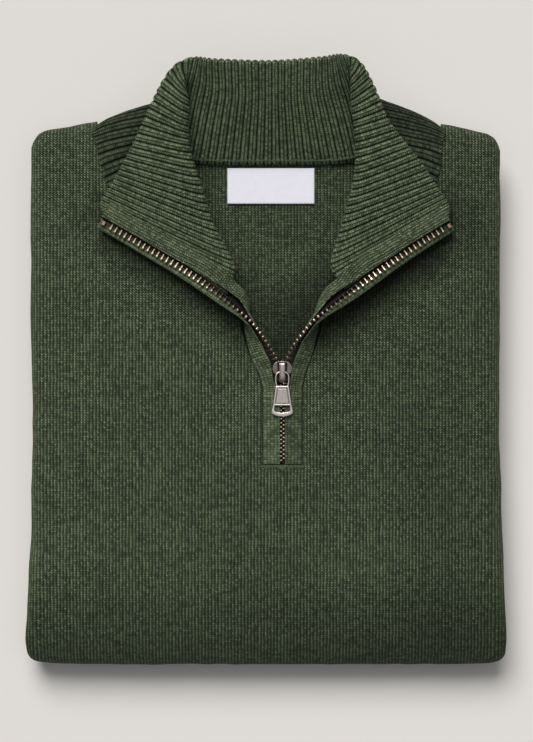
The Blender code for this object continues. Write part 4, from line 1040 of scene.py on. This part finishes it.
# painted shade on the side stands below the roll, and painted light, through negative values, on the inner face of the
# back collar
side_part = ease(abs(stations), 2.4, 3.8) * (1 - ease(abs(stations), 8.2, 9.2))
stand = side_part[:, None] * (1 - ease(up, 0.42, 0.50))[None, :] * (0.56 + 0.16 * ease(up, 0.0, 0.42))[None, :]
painted_back_collar_light = (1 - ease(abs(stations), 1.6, 2.6))[:, None] * (-0.42 * (1 - ease(up, 0.0, 1.0)) + 0.0)[None, :]
tarnish_and_painted_shading = stand + painted_back_collar_light
b = Build()
one = b.grid(middle + normal * half[..., None], flat, painted_shading=tarnish_and_painted_shading)
two = b.grid(middle - normal * half[..., None], flat, flip=True, painted_shading=tarnish_and_painted_shading)


def close(line_a, line_c, outward, flat_a, flip):
    """Rounds the edge from one face to the other."""
    pts = np.concatenate(b.verts)
    pa, pc = pts[line_a], pts[line_c]
    mid, arm = (pa + pc) / 2, (pa - pc) / 2
    size = np.linalg.norm(arm, axis=1, keepdims=True)
    ring = [mid + arm * math.cos(t) + outward * size * 0.8 * math.sin(t) for t in np.linspace(0, math.pi, 6)]
    ring = np.stack(ring, 1)
    f = np.stack([flat_a[:, None, 0] * np.ones(6), flat_a[:, None, 1] + np.linspace(0, 4.0, 6)[None]], -1)
    b.grid(ring, f, flip=flip)


def unit(v):
    return v / np.maximum(np.linalg.norm(v, axis=-1, keepdims=True), 1e-9)


close(one[:, -1], two[:, -1], unit(middle[:, -1] - middle[:, -2]), flat[:, -1], False)
close(one[:, 0], two[:, 0], unit(middle[:, 0] - middle[:, 1]), flat[:, 0], True)
close(one[0, :], two[0, :], unit(middle[0] - middle[1]), flat[0, :, ::-1], False)
close(one[-1, :], two[-1, :], unit(middle[-1] - middle[-2]), flat[-1, :, ::-1], True)
collar = b.join("collar_ribbed", [RIBBED], weld=0.02)
fix_normals(collar)
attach(collar, "sweater")
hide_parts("collar")

# ================================================================ zip: plackets, tapes, facings
def strip(name, side, rows, t, ring_at, materials, weld=0.0, sharp=60.0, painted_shading=0.0):
    """A closed strip along the zip through rings of (out, off) points."""
    rings, flats = [], []
    t = np.asarray(t, float)
    mids = zip_frame(rows, side, t)[0]
    along = np.concatenate([[0], np.cumsum(np.linalg.norm(np.diff(mids, axis=0), axis=1))])
    for k, a in zip(t, along):
        ring = ring_at(float(k), float(a))
        rings.append([zip_point(rows, side, float(k), np.array(o), np.array(f)) for o, f in ring])
        line = np.array(ring + ring[:1])
        g = np.concatenate([[0], np.cumsum(np.linalg.norm(np.diff(line, axis=0), axis=1))])
        flats.append(np.stack([g, np.full(len(g), a)], -1))
    b = Build()
    idx = b.grid(np.array(rings), np.array(flats), wrap=True, painted_shading=painted_shading)
    b.cap(idx[0], flip=True)
    b.cap(idx[-1])
    ob = b.join(name, materials, weld, sharp)
    fix_normals(ob)
    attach(ob, "sweater")
    return ob


def zip_length(rows, side, t0, t1, n=400):
    t = np.linspace(t0, t1, n)
    p = zip_frame(rows, side, t)[0]
    d = np.concatenate([[0], np.cumsum(np.linalg.norm(np.diff(p, axis=0), axis=1))])
    return t, d


def by_length(rows, side, t0, t1, step):
    t, d = zip_length(rows, side, t0, t1, 1500)
    return np.interp(np.linspace(0, d[-1], int(round(d[-1] / step)) + 1), d, t)


made = {}
for side, rows, tag in ((-1, ZIP_LEFT, "left"), (1, ZIP_RIGHT, "right")):

    def joined(k):
        return float(ease(k, 7.72, 7.97))

    def band_ring(k, a):
        """The placket: a ribbed fold of knit with soft edges. Its fine ribs run across it."""
        tuck = float(zip_value(rows, 5, k))
        o0 = -tuck + (tuck - 3.2) * joined(k)
        o1 = float(zip_value(rows, 4, k)) + (0.8 if side < 0 else 1.7) * float(ease(k, 1.9, 4.2) * (1 - ease(k, 5.7, 6.6)))
        fine = math.cos(2 * math.pi * a / 1.45)
        fine = (abs(fine) ** 0.7) * (1 if fine > 0 else -1) * ((0.07 + 0.13 * ease(k, 1.2, 2.4)) if k < 7 else 0.14)
        lo, hi = -3.3, -1.7
        n = 11
        ring = []
        for i in range(n):
            w = i / (n - 1)
            edge = min(w, 1 - w) * 2
            drop = 0.62 * (1 - math.sqrt(max(0.0, 1 - (1 - min(1.0, edge * 2.6)) ** 2)))
            drop += (0.32 - fine) * 0.5 * min(1.0, edge * 3)
            ring.append((o0 + (o1 - o0) * w - fine * 0.25 * (i == n - 1) + fine * 0.25 * (i == 0), lo + drop))
        for i in range(n):
            w = 1 - i / (n - 1)
            edge = min(w, 1 - w) * 2
            drop = 0.4 * (1 - math.sqrt(max(0.0, 1 - (1 - min(1.0, edge * 2.2)) ** 2)))
            ring.append((o0 + (o1 - o0) * w, hi - drop))
        return ring

    t = by_length(rows, side, 0.0, 10.97, 1.45 / 6)
    # painted shade on the placket bands, stronger on the right one
    placket = strip("placket_band_" + tag, side, rows, t, band_ring, [BANDS], painted_shading=0.06 if side < 0 else 0.34)
    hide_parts("placket_" + tag)

    def tape_ring(k, a):
        o0, o1 = -8.0 + 5.0 * joined(k), -1.75
        return [(o0, -0.45), ((o0 + o1) / 2, -0.45), (o1 - 0.1, -0.45), (o1, -0.2), (o1, 0.2), (o1 - 0.1, 0.45), ((o0 + o1) / 2, 0.45), (o0, 0.45)]

    tape = strip("tape_" + tag, side, rows, by_length(rows, side, 0.0, 10.97, 1.6), tape_ring, [TAPE])
    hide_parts("zip_tape_" + tag)

    knots = np.concatenate([[0.0], np.linspace(NECK_ON_ZIP, 10.97, 34)])
    besides = np.array([collar_beside(rows, side, k) for k in knots])

    def facing_ring(k, a):
        """The knit facing: a soft fold along the zip that thins out to nothing on the collar."""
        on = float(ease(k, 7.0, 7.6))
        start = float(ease(k, 7.3, 7.8) * (1 - ease(k, 8.2, 8.9)))
        near = 3.3 + 3.5 * float(ease(k, 1.8, 2.4) * (1 - ease(k, 4.5, 5.0))) - 0.3 * on
        at = float(np.clip(np.interp(k, knots, np.arange(len(knots))), 0, len(knots) - 1))
        i = min(int(at), len(knots) - 2)
        beside = besides[i] * (i + 1 - at) + besides[i + 1] * (at - i)
        lower, upper = [], []
        n = 11
        for i in range(n):
            w = i / (n - 1)
            out = -(near + (12.3 - 2.6 * start - near) * w)
            rest = float(np.interp(-out, -beside[:, 0], beside[:, 1]))
            drop = 0.6 * (1 - math.sqrt(max(0.0, 1 - (1 - min(1.0, w * 5.5)) ** 2)))
            drop_far = 0.7 * (1 - math.sqrt(max(0.0, 1 - (1 - min(1.0, (1 - w) * 5.5)) ** 2))) * (1 - on)
            sink = on * (1 - start) * float(ease(w, 0.15, 0.95))
            lower.append((out, 0.75 * (1 - on) + (rest + 2.9 - 0.4 * sink + 1.2 * start) * on + drop + drop_far))
            upper.append((out, 2.35 * (1 - on) + (rest + 4.15 - 1.25 * sink + 1.2 * start) * on - drop - drop_far))
        return lower + upper[::-1]

    facing = strip("facing_band_" + tag, side, rows, by_length(rows, side, 0.0, 10.97, 1.5), facing_ring, [FACE])
    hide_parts("facing_" + tag)
    made[tag] = (placket, tape, facing)

# ---------------------------------------------------------------- teeth
# One tooth in plan: how far past the tape's edge, half width along the zip, half height
TOOTH = (
    # out, half along, half up, share of the bright tip
    (-2.35, 0.40, 0.60, 0.0),
    (-2.15, 0.52, 0.85, 0.0),
    (-0.1, 0.52, 0.95, 0.1),
    (0.2, 0.60, 1.0, 0.6),
    (0.75, 0.74, 1.05, 1.0),
    (1.25, 0.66, 0.95, 1.0),
    (1.52, 0.34, 0.5, 1.0),
)


def tooth(b, where, run, reach, face, scale=1.0):
    rings = []
    for out, w, h, _ in TOOTH:
        ring = []
        for a in np.arange(8) * math.pi / 4 + math.pi / 8:
            c, s = math.cos(a), math.sin(a)
            c, s = math.copysign(abs(c) ** 0.6, c), math.copysign(abs(s) ** 0.6, s)
            ring.append(where + reach * out * scale + run * c * w * scale + face * s * h * scale)
        rings.append(ring)
    rings = np.array(rings)
    tip = np.array([row[3] for row in TOOTH])
    idx = b.grid(rings, np.stack([np.zeros((len(TOOTH), 9)), np.repeat(tip[:, None], 9, 1)], -1), wrap=True)
    b.cap(idx[0], flip=True)
    b.cap(idx[-1], flat=(0.0, 1.0))


for side, rows, tag in ((-1, ZIP_LEFT, "left"), (1, ZIP_RIGHT, "right")):
    b = Build()
    t, d = zip_length(rows, side, 4.4, 10.8, 1500)
    for at in np.arange(0.9, d[-1] - 0.5, 3.1):
        k = float(np.interp(at, d, t))
        point, run, reach, face = (np.asarray(v) for v in zip_frame(rows, side, k))
        tooth(b, point, run, reach, face)
    chain = b.join("teeth_" + tag, [BRASS], sharp=40)
    fix_normals(chain)
    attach(chain, "sweater")
    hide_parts("zip_chain_" + tag)

    b = Build()
    k = 10.9
    point, run, reach, face = (np.asarray(v) for v in zip_frame(rows, side, k))
    rings = []
    for out, w, h in ((-1.4, 1.0, 0.9), (-1.25, 1.15, 1.25), (1.0, 1.15, 1.25), (1.25, 0.95, 0.9)):
        ring = []
        for a in np.arange(8) * math.pi / 4 + math.pi / 8:
            c, s = math.cos(a), math.sin(a)
            c, s = math.copysign(abs(c) ** 0.5, c), math.copysign(abs(s) ** 0.5, s)
            ring.append(point + reach * out + run * c * w + face * s * h)
        rings.append(ring)
    idx = b.grid(np.array(rings), np.zeros((4, 9, 2)), wrap=True)
    b.cap(idx[0], flip=True)
    b.cap(idx[-1])
    stop = b.join("stop_" + tag, [BRASS], sharp=40)
    fix_normals(stop)
    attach(stop, "sweater")
    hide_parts("top_stop_" + tag)

MIDDLE = tuple(tuple((a + b) / 2 for a, b in zip(l, r)) for l, r in zip(ZIP_LEFT, ZIP_RIGHT))
b = Build()
t, d = zip_length(MIDDLE, -1, 0.03, 2.35, 400)
for i, at in enumerate(np.arange(0.9, d[-1] - 0.4, 1.2)):
    side = 1 if i % 2 else -1
    k = float(np.interp(at, d, t))
    point, run, reach, face = (np.asarray(v) for v in zip_frame(MIDDLE, side, k))
    tooth(b, point + reach * -1.3, run, reach, face, 0.8)
closed = b.join("teeth_closed", [BRASS], sharp=40)
fix_normals(closed)
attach(closed, "sweater")
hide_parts("zip_chain_closed")

# ---------------------------------------------------------------- seams
def yarn(b, path, radius, up=(0.0, 0.0, 1.0), sides=8, painted_shading=0.0):
    """A round cord along a path, with ends closed."""
    path = np.asarray(path, float)
    run = np.gradient(path, axis=0)
    run /= np.maximum(np.linalg.norm(run, axis=1, keepdims=True), 1e-9)
    out = np.cross(run, up)
    out /= np.maximum(np.linalg.norm(out, axis=1, keepdims=True), 1e-9)
    rise = np.cross(out, run)
    r = np.broadcast_to(np.asarray(radius, float), (len(path),))[:, None]
    ang = np.arange(sides) * 2 * math.pi / sides
    rings = np.stack([path + (out * math.cos(t) + rise * math.sin(t)) * r for t in ang], 1)
    far = np.concatenate([[0], np.cumsum(np.linalg.norm(np.diff(path, axis=0), axis=1))])
    flat = np.stack(np.meshgrid(np.arange(sides + 1) * 0.5, far), -1)
    idx = b.grid(rings, flat, wrap=True, painted_shading=painted_shading)
    b.cap(idx[0], flip=True)
    b.cap(idx[-1])


def seam_ready(ob):
    fix_normals(ob)
    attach(ob, "sweater")
    return ob


# the chain stitch that links the collar to the back, seen in the neck
b = Build()
at = np.linspace(-1.9, 1.75, 150)
foot_line = collar_grid(at, np.array([0.0, 0.06]))
line = foot_line[:, 0] * 0.45 + foot_line[:, 1] * 0.55
line = line + np.array([0.0, -1.1, 1.6])
far = np.concatenate([[0], np.cumsum(np.linalg.norm(np.diff(line, axis=0), axis=1))])
# these stitches take negative painted shading: painted light on the raised seam yarn
for step, phase in ((1.0, 0.0), (1.0, 0.5)):
    for k in np.arange(phase, far[-1] - 1.7, 1.9):
        share = np.linspace(0, 1, 6)
        pos = np.stack([np.interp(k + share * 1.5, far, line[:, i]) for i in range(3)], -1)
        sway = (0.5 if phase else -0.5) * np.cos(share * math.pi)
        pos = pos + np.stack([share * 0, sway * 0.8 + (0.25 if phase else -0.25), 0.35 * np.sin(share * math.pi)], -1)
        yarn(b, pos, 0.42 * np.sqrt(np.maximum(0.25, np.sin(share * math.pi))), painted_shading=-0.35)
seam_ready(b.join("seam_neck", [SEAM]))

# the stitches that close the foot of the placket
b = Build()
# these stitches take negative painted shading: painted light on the raised seam yarn
for k in range(17):
    x = -2.6 + k * 1.48
    y = -55.2 + 0.25 * math.sin(k * 2.1)
    for way in (-1, 1):
        share = np.linspace(0, 1, 5)
        pts = np.stack([x + way * 0.55 * (1 - share), y + 0.7 - 1.5 * share, np.zeros(5)], -1)
        pts[:, 2] = fold_body(pts[:, 0], pts[:, 1])[..., 2] + 0.15 + 0.22 * np.sin(share * math.pi)
        yarn(b, pts, 0.34, painted_shading=-0.1)
for way in (-1, 1):
    share = np.linspace(0, 1, 8)
    pts = np.stack([ZIP_X + way * (0.3 + 1.6 * share), -56.8 + 1.9 * share, np.zeros(8)], -1)
    pts[:, 2] = fold_body(pts[:, 0], pts[:, 1])[..., 2] + 0.2 + 0.25 * np.sin(share * math.pi)
    yarn(b, pts, 0.42, painted_shading=-0.5)
seam_ready(b.join("seam_placket_foot", [SEAM]))

# ---------------------------------------------------------------- label
b = Build()
xs, ys = np.linspace(-22.6, 27.7, 60), np.linspace(117.2, 96.6, 26)
X, Y = np.meshgrid(xs, ys)
lift = 0.05 * waves(X, Y, 31, 26.0)
Z = back_mid(X, Y) + PLY / 2 + 0.85 + 0.16 + lift * 0.6
b.grid(np.stack([X, Y, Z], -1), np.stack([X, Y], -1), flip=True)
label = solidify(b.join("label_blank", [LABEL]), 0.5, 0.0)
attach(label, "sweater")
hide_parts("neck_label")
# ================================================================ slider and its pull
SLIDER_AT = np.array([9.1, 0.0, 34.75])
SLIDER_TILT = math.radians(6.0)
PIVOT = np.array([0.0, -0.5, 3.85])     # the pull's bar under the bridge, in the slider's frame
PULL_TILT = math.radians(1.0)


def placed(points, at, tilt):
    """Takes points of a small part's own frame to where it lies."""
    p = np.asarray(points, float)
    c, s = math.cos(tilt), math.sin(tilt)
    return np.stack([p[..., 0], p[..., 1] * c - p[..., 2] * s, p[..., 1] * s + p[..., 2] * c], -1) + at


def both(half):
    """A closed outline from its right half, listed from the top down as (y, half width)."""
    right = [(w, y) for y, w in half]
    left = [(-w, y) for y, w in half if w > 0.01]
    return np.array(left + right[::-1], float)


def resample(ring, n):
    loop = np.concatenate([ring, ring[:1]])
    d = np.concatenate([[0], np.cumsum(np.linalg.norm(np.diff(loop, axis=0), axis=1))])
    at = np.linspace(0, d[-1], n, endpoint=False)
    return np.stack([np.interp(at, d, loop[:, 0]), np.interp(at, d, loop[:, 1])], -1)


def rounded(ring, times=2):
    for _ in range(times):
        ring = ring * 0.5 + (np.roll(ring, 1, 0) + np.roll(ring, -1, 0)) * 0.25
    return ring


def inset(ring, d):
    """A counter-clockwise outline moved in by d."""
    t = np.roll(ring, -1, 0) - np.roll(ring, 1, 0)
    t /= np.maximum(np.linalg.norm(t, axis=1, keepdims=True), 1e-9)
    return ring + np.stack([-t[:, 1], t[:, 0]], -1) * d


def slab(b, ring, low, high, soft, at, tilt, slot=0):
    """A plate over a plan outline, from low to high, with its rims rounded by soft."""
    levels = [(low, soft + 0.12), (low, soft), (low + soft * 0.3, soft * 0.3), (low + soft, 0.0), (high - soft, 0.0), (high - soft * 0.3, soft * 0.3), (high, soft), (high, soft + 0.12)]
    rings = []
    for z, d in levels:
        r = inset(ring, d)
        rings.append(placed(np.concatenate([r, np.full((len(r), 1), z)], 1), at, tilt))
    idx = b.grid(np.array(rings), np.zeros((len(rings), len(ring) + 1, 2)), wrap=True, slot=slot)
    b.cap(idx[0], flip=True, slot=slot)
    b.cap(idx[-1], slot=slot)


def rail(b, path, section, at, tilt, closed=False, slot=0):
    """A bar with a section (across, up) swept along a path (x, y, z)."""
    path = np.asarray(path, float)
    if closed:
        run = np.roll(path, -1, 0) - np.roll(path, 1, 0)
    else:
        run = np.gradient(path, axis=0)
    run /= np.linalg.norm(run, axis=1, keepdims=True)
    rings = []
    for p, r in zip(path, run):
        if closed or abs(r[2]) < 1e-6:
            out, up = np.array([r[1], -r[0], 0.0]), np.array([0.0, 0.0, 1.0])
        else:
            out, up = np.array([1.0, 0.0, 0.0]), np.array([0.0, -r[2], r[1]])
            if up[2] < 0 or (abs(up[2]) < 1e-6 and up[1] * p[1] < 0):
                up = -up
        out /= np.linalg.norm(out)
        rings.append(placed([p + out * a + up * h for a, h in section], at, tilt))
    if closed:
        rings.append(rings[0])
    rings = np.array(rings)
    idx = b.grid(rings, np.zeros((len(rings), len(section) + 1, 2)), wrap=True, slot=slot)
    if not closed:
        b.cap(idx[0], flip=True, slot=slot)
        b.cap(idx[-1], slot=slot)


PLATE = rounded(resample(both((
    (5.75, 0.0), (5.7, 2.4), (5.4, 3.6), (4.7, 4.6), (3.7, 5.3), (2.6, 5.72), (1.6, 5.8), (0.6, 5.65), (-0.6, 5.25),
    (-1.8, 4.7), (-3.0, 4.2), (-4.2, 3.9), (-5.2, 3.5), (-5.6, 2.9), (-5.6, 0.0))), 96))
LOBE = (
    (2.55, 5.6), (3.6, 5.42), (4.6, 4.7), (5.3, 3.7), (5.72, 2.6), (5.8, 1.6), (5.65, 0.6), (5.2, -0.6),
    (4.6, -1.5), (4.1, -1.7), (3.3, -1.1), (2.55, -0.4),
)
b = Build()
slab(b, PLATE, 1.3, 2.05, 0.2, SLIDER_AT, SLIDER_TILT, 2)
slab(b, PLATE, -2.6, -1.35, 0.3, SLIDER_AT, SLIDER_TILT)
for s in (1, -1):
    lobe = np.array([(x * s, y) for x, y in LOBE])
    lobe = rounded(resample(lobe[::-1] if s > 0 else lobe, 72), 1)
    slab(b, lobe, 1.9, 2.85, 0.34, SLIDER_AT, SLIDER_TILT)
post = rounded(resample(np.array([(-1.3, 2.6), (1.3, 2.6), (1.3, 5.3), (-1.3, 5.3)]), 32))
slab(b, post, -2.0, 2.0, 0.2, SLIDER_AT, SLIDER_TILT)
arch = smooth(np.arange(13.0), np.array([
    (5.4, 1.9), (5.42, 3.4), (5.2, 4.8), (4.5, 5.45), (3.2, 5.62), (1.4, 5.68), (-0.6, 5.68), (-2.6, 5.64), (-4.2, 5.5),
    (-5.15, 5.15), (-5.68, 4.3), (-5.8, 3.0), (-5.8, 1.9)]), np.linspace(0, 12, 73))
arch = np.concatenate([np.zeros((len(arch), 1)), arch], 1)
bar = [(-1.74, -0.45), (-1.74, 0.36), (-1.62, 0.6), (-1.44, 0.7), (-1.16, 0.7), (-1.0, 0.5), (-0.9, 0.4), (0.9, 0.4), (1.0, 0.5),
       (1.16, 0.7), (1.44, 0.7), (1.62, 0.6), (1.74, 0.36), (1.74, -0.45), (1.4, -0.6), (-1.4, -0.6)]
rail(b, arch, bar, SLIDER_AT, SLIDER_TILT, slot=1)
slider = b.join("slider_worn_nickel", [NICKEL, PALE_NICKEL, DARK_NICKEL], sharp=30)
fix_normals(slider)
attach(slider, "sweater")
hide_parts("zip_slider")

PULL_AT = placed(PIVOT, SLIDER_AT, SLIDER_TILT)
OUTER = rounded(resample(both((
    (-7.7, 0.0), (-7.7, 3.2), (-8.0, 3.85), (-10.0, 4.15), (-13.0, 4.52), (-16.0, 4.93), (-18.7, 5.33), (-21.0, 5.86),
    (-22.7, 6.28), (-23.3, 6.32), (-23.8, 5.9), (-24.5, 4.5), (-25.2, 2.4), (-25.45, 0.0))), 140), 1)
INNER = rounded(resample(both((
    (-8.75, 0.0), (-8.75, 2.95), (-10.0, 3.15), (-13.0, 3.55), (-16.0, 3.98), (-18.7, 4.38), (-20.0, 4.5), (-21.6, 4.55),
    (-22.3, 4.25), (-22.8, 3.0), (-23.15, 0.0))), 140), 1)
b = Build()
rings = []
for ring, d, z in (
    (OUTER, 0.0, -0.5), (OUTER, 0.0, 0.5), (OUTER, 0.09, 0.66), (OUTER, 0.26, 0.73), (INNER, -0.22, 0.73), (INNER, -0.06, 0.68),
    (INNER, 0.0, 0.52), (INNER, 0.0, -0.52), (INNER, -0.06, -0.68), (INNER, -0.22, -0.73), (OUTER, 0.26, -0.73), (OUTER, 0.09, -0.66)):
    r = inset(ring, d)
    rings.append(placed(np.concatenate([r, np.full((len(r), 1), z)], 1), PULL_AT, PULL_TILT))
rings.append(rings[0])
b.grid(np.array(rings), np.zeros((len(rings), len(OUTER) + 1, 2)), wrap=True)


def trapezium(top, bottom, in_by):
    """The part of the pull's opening between two distances from its bar, moved in by in_by."""
    y0, y1 = -top - in_by, -bottom + in_by
    w0, w1 = (float(np.interp(-y, (8.75, 13.0, 16.0, 18.7), (2.95, 3.55, 3.98, 4.38))) - in_by for y in (y0, y1))
    return rounded(resample(np.array([(-w1, y1), (w1, y1), (w0, y0), (-w0, y0)]), 96), 1)


slab(b, trapezium(8.75, 18.5, -0.2), -0.42, 0.30, 0.08, PULL_AT, PULL_TILT, 1)
slab(b, trapezium(8.75, 18.3, 0.58), -0.56, 0.56, 0.12, PULL_AT, PULL_TILT, 2)
cross = resample(np.array([(-4.6, -18.95), (4.6, -18.95), (4.5, -18.2), (-4.5, -18.2)]), 60)
slab(b, cross, -0.68, 0.68, 0.12, PULL_AT, PULL_TILT)
half = np.array([(0.0, 0.2), (-1.3, 0.2), (-2.3, -0.05), (-3.15, -0.8), (-3.62, -1.9), (-3.78, -3.3), (-3.72, -5.0), (-3.5, -6.5), (-3.2, -7.7), (-3.1, -8.4)])
line = smooth(np.arange(19.0), np.concatenate([half[::-1], half[1:] * (-1, 1)]), np.linspace(0, 18, 73))
line = np.concatenate([line, np.zeros((len(line), 1))], 1)
bead = [(0.5 * math.copysign(abs(math.cos(a)) ** 0.7, math.cos(a)), 0.6 * math.copysign(abs(math.sin(a)) ** 0.7, math.sin(a))) for a in np.arange(12) * math.pi / 6 + 0.26]
rail(b, line, bead, PULL_AT, PULL_TILT)
tab = b.join("pull_worn_nickel", [BRIGHT_NICKEL, NICKEL, PALE_NICKEL], sharp=32)
fix_normals(tab)
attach(tab, "pull")
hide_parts("zip_pull")


# ================================================================ the plackets, tapes and facings of each side, looked up again
for tag in ("left", "right"):
    placket, tape, facing = made[tag]

# ================================================================ what rests on the table is flat there
bpy.context.view_layer.update()
for ob in (front, hem, hem_back, back):
    where = np.array(ob.matrix_world)
    co = np.empty(len(ob.data.vertices) * 3)
    ob.data.vertices.foreach_get("co", co)
    world_co = co.reshape(-1, 3) @ where[:3, :3].T + where[:3, 3]
    world_co[:, 2] = np.maximum(world_co[:, 2], 5e-5)
    co = (world_co - where[:3, 3]) @ np.linalg.inv(where[:3, :3]).T
    ob.data.vertices.foreach_set("co", co.ravel())
    ob.data.update()

# ================================================================ floor, light, camera
floor = bpy.data.meshes.new("floor")
s = 3.0
floor.from_pydata([(-s, -s, 0), (s, -s, 0), (s, s, 0), (-s, s, 0)], [], [(0, 1, 2, 3)])
n = Nodes("pale_floor")
n.shader.inputs["Base Color"].default_value = (0.80, 0.775, 0.745, 1)
n.shader.inputs["Roughness"].default_value = 0.9
n.shader.inputs["Specular IOR Level"].default_value = 0.1
floor.materials.append(n.m)
ground = bpy.data.objects.new("floor", floor)
bpy.context.scene.collection.objects.link(ground)


def sun(name, towards, strength, soft, colour=(1, 1, 1)):
    """Light from far off, from the direction towards, soft degrees wide."""
    data = bpy.data.lights.new(name, "SUN")
    data.energy = strength
    data.angle = math.radians(soft)
    data.color = colour
    ob = bpy.data.objects.new(name, data)
    ob.location = Vector(towards) * 2
    ob.rotation_mode = "QUATERNION"
    ob.rotation_quaternion = (-Vector(towards)).to_track_quat("-Z", "Y")
    bpy.context.scene.collection.objects.link(ob)
    return ob


sun("key", (-0.17, 0.62, 0.80), 2.7, 34.0, (1.0, 0.985, 0.965))
sun("overhead", (0.0, 0.05, 1.0), 0.55, 60.0, (0.97, 0.98, 1.0))
world = bpy.data.worlds.new("studio")
world.use_nodes = True
world.node_tree.nodes["Background"].inputs["Color"].default_value = (0.96, 0.965, 0.97, 1)
world.node_tree.nodes["Background"].inputs["Strength"].default_value = 0.08
bpy.context.scene.world = world
bpy.context.scene.view_settings.view_transform = "Standard"

data = bpy.data.cameras.new("camera")
data.sensor_fit = "VERTICAL"
data.sensor_height = 24.0
data.lens = 24.0 * 1600.0 / (742 * 0.59)
data.clip_start, data.clip_end = 0.05, 20.0
camera = bpy.data.objects.new("camera", data)
camera.location = (ORIGIN[0] * MM, ORIGIN[1] * MM, 1.6)
bpy.context.scene.collection.objects.link(camera)
bpy.context.scene.camera = camera

bpy.context.view_layer.update()
